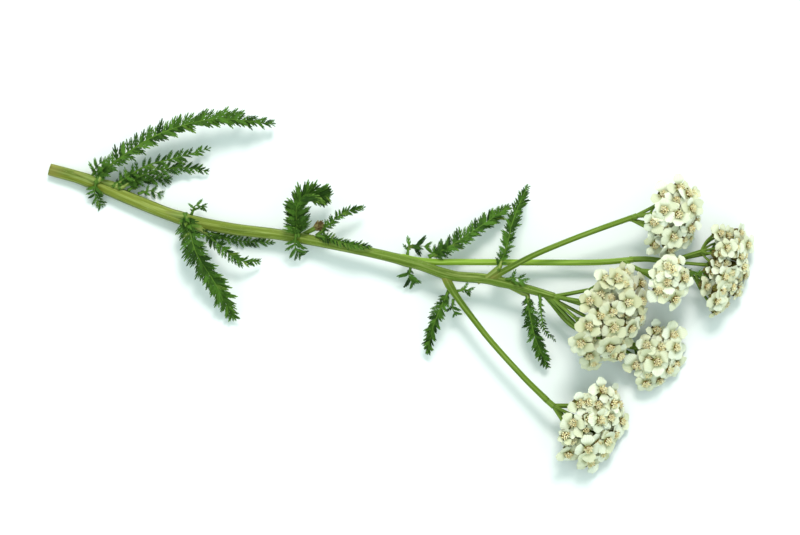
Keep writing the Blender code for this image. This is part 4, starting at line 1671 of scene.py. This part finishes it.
# %% [markdown]
# ## How a frond is laid out
#
# The plain frond has few leaflets. The finer one has more than twice as many, each a
# little longer, so that they close up into a feather. Leaflets are short at both ends of
# the rib and longest between them. They lean forwards, and more so towards the tip. Small
# crowded ones stand all round the rib at the leaf's foot. These sizes hold for every
# frond, and the tables above change a few of them for a frond that needs it.

# %% Proportions of a frond
MORE_LEAFLETS = 2.3
LONGER_LEAFLETS = 1.22
TUFT_LEAFLETS = 1.4
TUFT_LENGTH = 7.5
BARE = 0.1
BARE_SHARE = 0.2
FOOT_LEAFLETS = 20
TUFT_FOOT_LEAFLETS = 3
FOOT_SHARE = 0.2
LEAFLET_SWEEP = math.radians(58)
LEAFLET_SLIM = 0.84
LEAFLET_BASE = 0.7
LEAF_WOBBLE = 0.16


def leaf_reach(share, base):
    """Length of a leaflet at this share of the blade, against the longest."""
    rise = min(1.0, base + 1.6 * share)
    fall = min(1.0, 0.42 + 2.6 * (1.0 - share))
    return rise * fall


print("leaflet lengths:", [round(leaf_reach(k / 5, LEAFLET_BASE), 2) for k in range(6)])

# %% [markdown]
# ## Ribs and sheaths
#
# The rib of a yarrow leaf is grooved above and tapers to nothing. A long leaf widens at
# its foot into a pale sheath that clasps the stem. The sheath is one more tube: it starts
# sunk in the stem's skin below the leaf, swells out of it, and narrows into the rib.

# %% Line of a frond
RIB_STEPS = 10


def frond_line(plan):
    """The rib's points in mm, and the length up to each."""
    start = plan["path"][0] if plan.get("free") else seated(plan["path"][0])
    places = [Vector(p) for p in smooth_path([start] + plan["path"][1:], RIB_STEPS)]
    lengths = [0.0]
    for a, b in zip(places, places[1:]):
        lengths.append(lengths[-1] + (b - a).length)
    return places, lengths


def point_along(places, lengths, want):
    """The point at this length along the rib, and the rib's direction there."""
    i = 0
    while i < len(lengths) - 2 and lengths[i + 1] < want:
        i += 1
    t = (want - lengths[i]) / (lengths[i + 1] - lengths[i])
    forward = (places[min(i + 2, len(places) - 1)] - places[max(i - 1, 0)]).normalized()
    return places[i].lerp(places[i + 1], t), forward

# %% Sheath and rib
SHEATHED_LENGTH = 18.0
SHEATH_END = 2.2
RIB_ROOT = 0.8
THICKEST_RIB = 0.36


def sheath(name, root, end, radius):
    """The pale foot of a leaf, which clasps the stem below it and narrows into the rib."""
    centre, girth, growth = nearest_stretch(root)
    out = (Vector(root) - centre).normalized()
    line = [
        (*(centre - growth * 6.5 + out * (girth - 0.45)), 0.3),
        (*(centre - growth * 3.6 + out * (girth - 0.1)), 0.62),
        (*(centre - growth * 1.2 + out * (girth + 0.3)), 0.8),
        (*(centre + growth * 0.2 + out * (girth + 0.75)), 0.68),
        (*end, radius * 1.25),
    ]
    bm = bmesh.new()
    sweep(bm, smooth_path(line, 6), 14, ridges=3, depth=0.12)
    return mesh_object(name + "_sheath", bm, sheath_skin)


def ribs(name, plan, places, lengths):
    """The tapering rib, and the sheath of a leaf that is long enough to have one."""
    whole = lengths[-1]
    radius = min(THICKEST_RIB, 0.18 + whole * 0.006)
    stations = [
        (*place, radius * (1.25 - 0.95 * length / whole + math.exp(-length / 1.2)))
        for place, length in zip(places, lengths)
    ]
    first = (places[1] - places[0]).normalized()
    bm = bmesh.new()
    sweep(bm, [(*(places[0] - first * RIB_ROOT), radius * 2.6)] + stations, 10, ridges=2, depth=0.25)
    made = [mesh_object(name + "_rib", bm, rib_skin)]
    if whole > SHEATHED_LENGTH and plan.get("sheathed", True):
        made.append(sheath(name, plan["path"][0], places[0] + first * SHEATH_END, radius))
    return made

# %% [markdown]
# ## Leaflets along the rib
#
# A leaflet's turn is built from three directions: outwards and forwards along its length,
# up from its face, and the third square to both. That is safer than adding up angles,
# because it holds wherever the rib bends. Each leaflet then varies a little in place, fold,
# sweep and size, drawn in a fixed order from the frond's own seed.

# %% Leaflets on both sides
def turned_to(axis_x, axis_y, axis_z):
    """The rotation that lays a model's own axes along these."""
    return Matrix((axis_x, axis_y, axis_z)).transposed().to_quaternion()


def leaflet_turn(face, forward, side, fold, slant):
    """The rotation of a leaflet on one side of the rib."""
    across = face.cross(forward).normalized()
    sideways = across * side
    upward = forward.cross(across)
    outward = sideways * math.cos(fold) + upward * math.sin(fold)
    axis_x = outward * math.sin(slant) + forward * math.cos(slant)
    normal = upward * math.cos(fold) - sideways * math.sin(fold)
    axis_z = (normal - axis_x * normal.dot(axis_x)).normalized()
    return turned_to(axis_x, axis_z.cross(axis_x), axis_z)


def leaflet_spots(plan, places, lengths, draw):
    """Leaflets in pairs from the foot of the blade to its tip."""
    face = Vector(plan["face"])
    tuft = lengths[-1] < TUFT_LENGTH
    pairs = plan["pairs"] if tuft else round(plan["pairs"] * MORE_LEAFLETS)
    longer = TUFT_LEAFLETS if tuft else LONGER_LEAFLETS
    bare = plan.get("bare", BARE) * BARE_SHARE
    spots = []
    for k in range(pairs):
        for side in (1, -1):
            share = bare + (0.99 - bare) * ((k + 0.5 + draw.uniform(-0.2, 0.2)) / pairs) ** 0.9
            place, forward = point_along(places, lengths, share * lengths[-1])
            blade = (share - bare) / (1 - bare)
            fold = math.radians(plan["fold"] + draw.uniform(-12, 12))
            slant = LEAFLET_SWEEP * (1 - 0.45 * blade) + draw.uniform(-0.12, 0.12)
            rotation = leaflet_turn(face, forward, side, fold, slant)
            reach = plan["reach"] * longer * leaf_reach(blade, plan.get("base", LEAFLET_BASE))
            size = (reach + 0.25) * draw.uniform(0.82, 1.12)
            spots.append((place, rotation, (size, size * plan.get("slim", LEAFLET_SLIM), size)))
    return spots

# %% Crowded foot and last leaflet
def foot_spots(plan, places, count, draw):
    """Small leaflets all round the rib at the leaf's foot."""
    spots = []
    for k in range(count):
        i = int(draw.uniform(0.0, FOOT_SHARE) * (len(places) - 2))
        heading = (places[i + 2] - places[i]).normalized()
        outward = heading.orthogonal().normalized()
        outward.rotate(Quaternion(heading, k * GOLDEN_ANGLE))
        rotation = (heading * 0.9 + outward).to_track_quat("X", "Z")
        foot = places[i].lerp(places[i + 1], draw.random())
        spots.append((foot, rotation, draw.uniform(0.45, 0.8) * plan["reach"] + 0.3))
    return spots


def tip_spot(plan, places):
    """The leaflet that ends the rib."""
    face = Vector(plan["face"])
    tip = places[-1] - places[-2]
    across = face.cross(tip)
    rotation = turned_to(tip.normalized(), across.normalized(), tip.cross(across).normalized())
    return (places[-1], rotation, max(0.9, plan["reach"] * 0.4))

# %% [markdown]
# ## Making the fronds
#
# A frond is its rib, its sheath and one scattered mesh of leaflets, joined. It replaces the
# plain frond of the same name. One small comb-like leaf stands in the far cluster, which
# has no plain solid of its own, so it replaces that cluster together with its flowers.

# %% Every frond
def frond(name, plan, seed):
    """A frond on the path of its solid: a tapering rib with cut leaflets on both sides."""
    draw = random.Random(seed)
    plan = {**plan, **plan.get("shown", {})}
    places, lengths = frond_line(plan)
    rib_pieces = ribs(name, plan, places, lengths)
    tuft = lengths[-1] < TUFT_LENGTH
    spots = leaflet_spots(plan, places, lengths, draw)
    count = TUFT_FOOT_LEAFLETS if tuft else plan.get("foot", FOOT_LEAFLETS)
    spots += foot_spots(plan, places, count, draw)
    spots.append(tip_spot(plan, places))
    blades = scattered(name + "_leaf", spots, leaflet_home, leaf_skin, seed, LEAF_WOBBLE)
    return joined(name + "_leaf", [blades] + rib_pieces)


for seed, (name, plan) in enumerate(FRONDS.items(), start=100):
    piece = frond(name, plan, seed)
    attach(piece, "root")
    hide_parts(name)
    print(f"{piece.name}: {len(piece.data.polygons)} faces")

# %% Small leaf in the far cluster
leaf_by_d = frond("corymb_d", LEAF_BY_D, 150)
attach(leaf_by_d, "root")
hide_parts("corymb_d")
print(f"{leaf_by_d.name}: {len(leaf_by_d.data.polygons)} faces")

# %% [markdown]
# ## Bud
#
# At the third joint sits a small brown bud that never opened: dried scales on a short
# peg. It could be one lumpy ball, but its edge would look too smooth. So the bracts of the
# flower cups are used again, in another material, by the golden angle from foot to tip.

# %% Bud on its peg
BUD_PLACE = (-22.5, 15.6, 5.0)
BUD_AXIS = Vector((0.85, 0.45, 0.3)).normalized()
BUD_SCALES = 30
BUD_REACH = 1.9
BUD_RADIUS = 0.72
SCALE_SIZE = 0.82


def bud_spots(place):
    """Scales round the bud's axis, leaning in towards its tip."""
    axis = BUD_AXIS.to_track_quat("Z", "Y")
    spots = []
    for k in range(BUD_SCALES):
        share = k / BUD_SCALES
        around = axis @ Quaternion((0, 0, 1), k * GOLDEN_ANGLE)
        radius = BUD_RADIUS * math.sin(math.pi * (0.2 + 0.62 * share))
        root = place + around @ Vector((radius, 0, -1.2 + 1.9 * share))
        lean = Quaternion((0, 1, 0), -math.pi / 2 + 0.62 - 0.3 * share)
        spots.append((root, around @ lean, SCALE_SIZE))
    return spots


def bud():
    """The small brown bud: pointed scales, closest at its tip, on a short peg from the stem."""
    place = Vector(BUD_PLACE) + BUD_AXIS * BUD_REACH
    scales = scattered("bud_3_scales", bud_spots(place), bract_home, bud_skin, 77, 0.12)
    foot = seated(Vector(BUD_PLACE) - BUD_AXIS * 3.0)
    foot = foot + (foot - place).normalized() * 0.8
    line = [(*foot, 0.55), (*(place - BUD_AXIS * 1.5), 0.62), (*(place + BUD_AXIS * 0.6), 0.7)]
    bm = bmesh.new()
    sweep(bm, smooth_path(line, 5), 12)
    return joined("bud_3_scales", [scales, mesh_object("bud_3_peg", bm, stalk_skin)])


bud_piece = bud()
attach(bud_piece, "root")
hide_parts("bud_3")
print(f"{bud_piece.name}: {len(bud_piece.data.polygons)} faces")

# %% [markdown]
# ## Cups
#
# Each head sits in a green cup, a small barrel. A lathe profile, radius and height, is
# turned round the head's axis. The cup could be scattered like the other small models. It
# is drawn in place instead, so that each of its points can be kept above the surface.

# %% Turned cups
CUP_PROFILE = [
    (0.42, -3.25), (0.75, -3.0), (1.05, -2.45), (1.2, -1.7), (1.2, -0.9), (1.08, -0.2), (0.95, 0.25),
]
CUP_SIDES = 14
CUP_TOP = 0.55
CUP_UV = (0.5, 0.3)


def cups(name, heads):
    """The green cups under the rays, turned on a lathe profile."""
    bm = bmesh.new()
    uv = bm.loops.layers.uv.verify()
    angles = [math.tau * k / CUP_SIDES for k in range(CUP_SIDES)]
    for head in heads:
        rings = []
        for radius, height in CUP_PROFILE:
            places = [above_surface(head_point(head, radius, angle, height)) for angle in angles]
            rings.append([bm.verts.new(place) for place in places])
        for low, high in zip(rings, rings[1:]):
            for k in range(CUP_SIDES):
                j = (k + 1) % CUP_SIDES
                face = bm.faces.new((low[k], low[j], high[j], high[k]))
                for loop in face.loops:
                    loop[uv].uv = CUP_UV
        middle = bm.verts.new(above_surface(head_point(head, 0.0, 0.0, CUP_TOP)))
        pointed_top(bm, rings[-1], middle)
    return mesh_object(name + "_cups", bm, bract_skin)

# %% [markdown]
# ## Stalks
#
# A corymb branches twice: its own stem forks into twigs, and each twig into the stalks of
# its heads. Real forks lie at slightly different heights, so the forks are fanned out along
# the last stretch of the cluster's stem. A twig goes two thirds of the way to the middle of
# its heads with a slight sag, and a stalk comes up into its cup along the head's axis.

# %% Twig and head stalks
STALK_ROOT = 1.4
TWIG_SHARE = 0.66
TWIG_SAG = 0.4


def twig(bm, fork, members):
    """A twig from the fork towards its heads, and the stalk of each head."""
    mean = sum((head_foot(head) for head in members), Vector()) / len(members)
    end = fork.lerp(mean, TWIG_SHARE)
    bend = fork.lerp(end, 0.5) - Vector((0, 0, TWIG_SAG))
    start = fork - (end - fork).normalized() * 0.5
    line = [(*start, 0.5), (*bend, 0.46), (*end, 0.5)]
    sweep(bm, smooth_path(line, 5), 12, ridges=5, depth=0.12)
    for head in members:
        foot = head_foot(head)
        ease = foot - head["axis"] * (foot - end).length * 0.3
        begin = end - (foot - end).normalized() * 0.3
        line = [(*begin, 0.3), (*begin.lerp(ease, 0.6), 0.3), (*foot, 0.36)]
        sweep(bm, smooth_path(line, 5), 9)

# %% All stalks of a cluster
def stalks(name, plan, heads):
    """The corymb's own stem, its twigs and the stalk of each head."""
    bm = bmesh.new()
    line = smooth_path(plan["stalk"], 8)
    back = (Vector(line[0][:3]) - Vector(line[1][:3])).normalized() * STALK_ROOT
    root = Vector(line[0][:3]) + back
    sweep(bm, [[*root, line[0][3]]] + line, 16, ridges=5, depth=0.12)
    tip = Vector(plan["stalk"][-1][:3])
    groups = plan.get("twigs", plan["groups"] + 1)
    for index in range(groups):
        members = [head for head in heads if head_group(head, groups) == index]
        if members:
            fork = tip + back.normalized() * plan.get("fan", 1.0) * index / groups
            twig(bm, fork, members)
    return mesh_object(name + "_stalks", bm, stalk_skin)

# %% [markdown]
# ## Parts of a head
#
# Most heads have five rays, a few have four or six. Each ray is tilted a little up or
# down, since no two lie in one plane. The disc is a small sunflower of thirteen florets
# that lean outwards, and its middle ones are the last to open, so more of them are closed.
# Three rows of bracts overlap round the cup. Each function returns spots: place, turn and
# size. The draws are made in one fixed order, head by head.

# %% Spots of rays
PETAL_ROOT = 0.75
RAY_COUNTS = (5, 5, 5, 5, 6, 4)
QUARTER_TURN = math.pi / 2


def ray_spots(head, draw):
    """The rays of one head."""
    count = PETALS if head["young"] else draw.choice(RAY_COUNTS)
    spots = []
    for k in range(count):
        angle = math.tau * (k + 0.5) / count + draw.uniform(-0.24, 0.24)
        tilt = draw.uniform(-0.5, 0.4)
        rotation = head_turned(head, angle) @ Quaternion((0, 1, 0), tilt)
        place = head_point(head, PETAL_ROOT, angle, 0.1 + 0.1 * (k % 2))
        spots.append((place, rotation, head["size"] * draw.uniform(0.82, 1.14)))
    return spots

# %% Spots of florets and bracts
DISC_FLORETS = 13
DISC_RADIUS = 0.92
CLOSED_IN_YOUNG = 0.85
BRACT_ROWS = [(7, -2.75, 0.95, 0.8), (7, -2.1, 1.16, 0.95), (7, -1.35, 1.2, 1.05)]


def floret_spots(head, draw):
    """The open and the closed florets of one head's disc."""
    opened, closed = [], []
    for k in range(DISC_FLORETS):
        reach = DISC_RADIUS * math.sqrt((k + 0.4) / DISC_FLORETS)
        angle = k * GOLDEN_ANGLE
        rotation = head_turned(head, angle) @ Quaternion((0, 1, 0), 0.5 * reach)
        place = head_point(head, reach, angle, 0.85 - 0.4 * reach * reach)
        chance = CLOSED_IN_YOUNG if head["young"] else 0.35 - 0.25 * reach
        target = closed if draw.random() < chance else opened
        target.append((place, rotation, head["size"] * draw.uniform(0.82, 1.08)))
    return opened, closed


def bract_spots(head, draw):
    """Three rows of bracts round one head's cup, each row set between those below."""
    spots = []
    for row, (number, height, radius, scale) in enumerate(BRACT_ROWS):
        for k in range(number):
            angle = math.tau * (k + 0.5 * (row % 2)) / number + draw.uniform(-0.1, 0.1)
            rotation = head_turned(head, angle) @ Quaternion((0, 1, 0), 0.12 - QUARTER_TURN)
            spots.append((head_point(head, radius, angle, height), rotation, head["size"] * scale))
    return spots

# %% [markdown]
# ## Making the clusters
#
# A cluster becomes three objects: its white rays, its cream florets, and everything green.
# That is fewer pieces than one for each head, and each still has its own materials. All
# three replace the plain cluster and move with it.

# %% One cluster
SLIGHT_FADE_AND_SHADE = 0.06


def corymb(name, plan):
    """The corymb's rays, florets and green parts, on the heads of its solid."""
    draw = random.Random(plan["seed"] * 7)
    heads = corymb_heads(plan)
    rays, young_rays, opened, closed, bracts = [], [], [], [], []
    for head in heads:
        (young_rays if head["young"] else rays).extend(ray_spots(head, draw))
        more_opened, more_closed = floret_spots(head, draw)
        opened += more_opened
        closed += more_closed
        bracts += bract_spots(head, draw)
    seed = plan["seed"]
    # How far the rays have faded, with painted shade in the same number.
    fade_and_shade = plan.get("fade_and_shade", SLIGHT_FADE_AND_SHADE)
    white = [scattered(name + "_rays", rays, petal_home, petal_skin, seed, 0.08, fade_and_shade)]
    if young_rays:
        young_name = name + "_young_rays"
        white.append(scattered(young_name, young_rays, young_petal_home, petal_skin, seed, 0.08, fade_and_shade))
    cream = [scattered(name + "_florets", opened, floret_home, floret_skin, seed, 0.15)]
    if closed:
        cream.append(scattered(name + "_closed", closed, closed_floret_home, floret_skin, seed, 0.1))
    scales = scattered(name + "_bracts", bracts, bract_home, bract_skin, seed, 0.05)
    return {
        "rays": joined(name + "_rays", white),
        "florets": joined(name + "_florets", cream),
        "green": joined(name + "_green", [scales, cups(name, heads), stalks(name, plan, heads)]),
    }

# %% Every cluster
for name, plan in CORYMBS.items():
    for kind, piece in corymb(name, plan).items():
        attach(piece, "root")
        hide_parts(name)
        "stem" if kind == "green" else "petals"
        print(f"{piece.name}: {len(piece.data.polygons)} faces")

# %% [markdown]
# ## Clearing up
#
# The small models have been copied and are no part of the plant, so they and their
# collections are removed. Then the triangles are counted: a scene that is too heavy is
# easier to notice here than in a render that never ends.

# %% Remove the models and count
MODEL_HOMES = (petal_home, young_petal_home, floret_home, closed_floret_home, bract_home, leaflet_home)
for home in MODEL_HOMES:
    for thing in list(home.objects):
        bpy.data.objects.remove(thing, do_unlink=True)
    bpy.data.collections.remove(home)

total = 0
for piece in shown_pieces():
    if piece.type == "MESH":
        triangles = sum(len(polygon.vertices) - 2 for polygon in piece.data.polygons)
        total += triangles
        print(f"{piece.name}: {triangles} triangles")
print(f"all pieces: {total} triangles")

# %% [markdown]
# ## Surface
#
# The stem lies on plain white. A large flat sheet in a rough, nearly white material takes
# the soft shadows that show how far each leaf stands off the surface. It belongs to the
# stage and not to the plant.

# %% White surface
SURFACE_HALF = 1.5
SURFACE_WHITE = (0.85, 0.855, 0.855, 1.0)


def white_surface():
    """A large level sheet under the plant."""
    bm = bmesh.new()
    bmesh.ops.create_grid(bm, x_segments=1, y_segments=1, size=SURFACE_HALF)
    look = Look("white_surface")
    look.done(Base_Color=SURFACE_WHITE, Roughness=0.9, Specular_IOR_Level=0.1)
    return mesh_object("floor", bm, look.material)


floor = white_surface()
print("surface is", 2 * SURFACE_HALF, "m wide")

# %% [markdown]
# ## Light
#
# The photograph has very soft light from all round, a little blue-green in its shadows,
# and one broad source from above that throws faint shadows downwards in the picture. An
# even world gives the first. A large disc gives the second: its size sets how soft the
# shadow edges are, and its warmth makes up for the tint of the world.

# %% World and window
WORLD_TINT = (0.81, 1.0, 0.96, 1.0)
WORLD_STRENGTH = 1.02
WINDOW_PLACE = (0.12, 0.82, 1.08)
WINDOW_SIZE = 0.4
WINDOW_POWER = 12.0
WINDOW_COLOUR = (1.0, 0.975, 0.95)


def window_light():
    """One broad disc of light that looks at the plant."""
    light = bpy.data.lights.new("window", "AREA")
    light.shape = "DISK"
    light.size = WINDOW_SIZE
    light.energy = WINDOW_POWER
    light.color = WINDOW_COLOUR
    made = bpy.data.objects.new("window", light)
    made.location = WINDOW_PLACE
    made.rotation_euler = (-Vector(WINDOW_PLACE)).to_track_quat("-Z", "Y").to_euler()
    bpy.context.scene.collection.objects.link(made)


def even_world():
    """Even light from all round, faintly blue-green."""
    world = bpy.data.worlds.new("world")
    world.use_nodes = True
    background = world.node_tree.nodes["Background"]
    background.inputs["Color"].default_value = WORLD_TINT
    background.inputs["Strength"].default_value = WORLD_STRENGTH
    bpy.context.scene.world = world


window_light()
even_world()
bpy.context.scene.view_settings.view_transform = "Standard"
print("window is", round(Vector(WINDOW_PLACE).length, 2), "m away")

# %% [markdown]
# ## Camera
#
# The picture looks straight down, as a flatbed scanner does. An orthographic camera would
# be the plain choice. A long lens from far away is nearly the same and still lets high
# petals lean outwards a touch. Its height follows from the width that it has to see.

# %% Camera straight above
VIEW_WIDTH = 0.200
VIEW_MIDDLE = (-0.5, 6.125, 0.0)
LENS = 200.0
SENSOR_WIDTH = 36.0
FOCUS_HEIGHT = 0.008


def camera():
    """A long lens straight above the middle of the view."""
    data = bpy.data.cameras.new("camera")
    data.lens = LENS
    data.sensor_width = SENSOR_WIDTH
    data.clip_end = 20.0
    made = bpy.data.objects.new("camera", data)
    middle = metres(VIEW_MIDDLE)
    made.location = (middle.x, middle.y, VIEW_WIDTH * LENS / SENSOR_WIDTH + FOCUS_HEIGHT)
    made.rotation_euler = (0.0, 0.0, 0.0)
    bpy.context.scene.collection.objects.link(made)
    bpy.context.scene.camera = made
    return made


view = camera()
print("camera height in m:", round(view.location.z, 3))
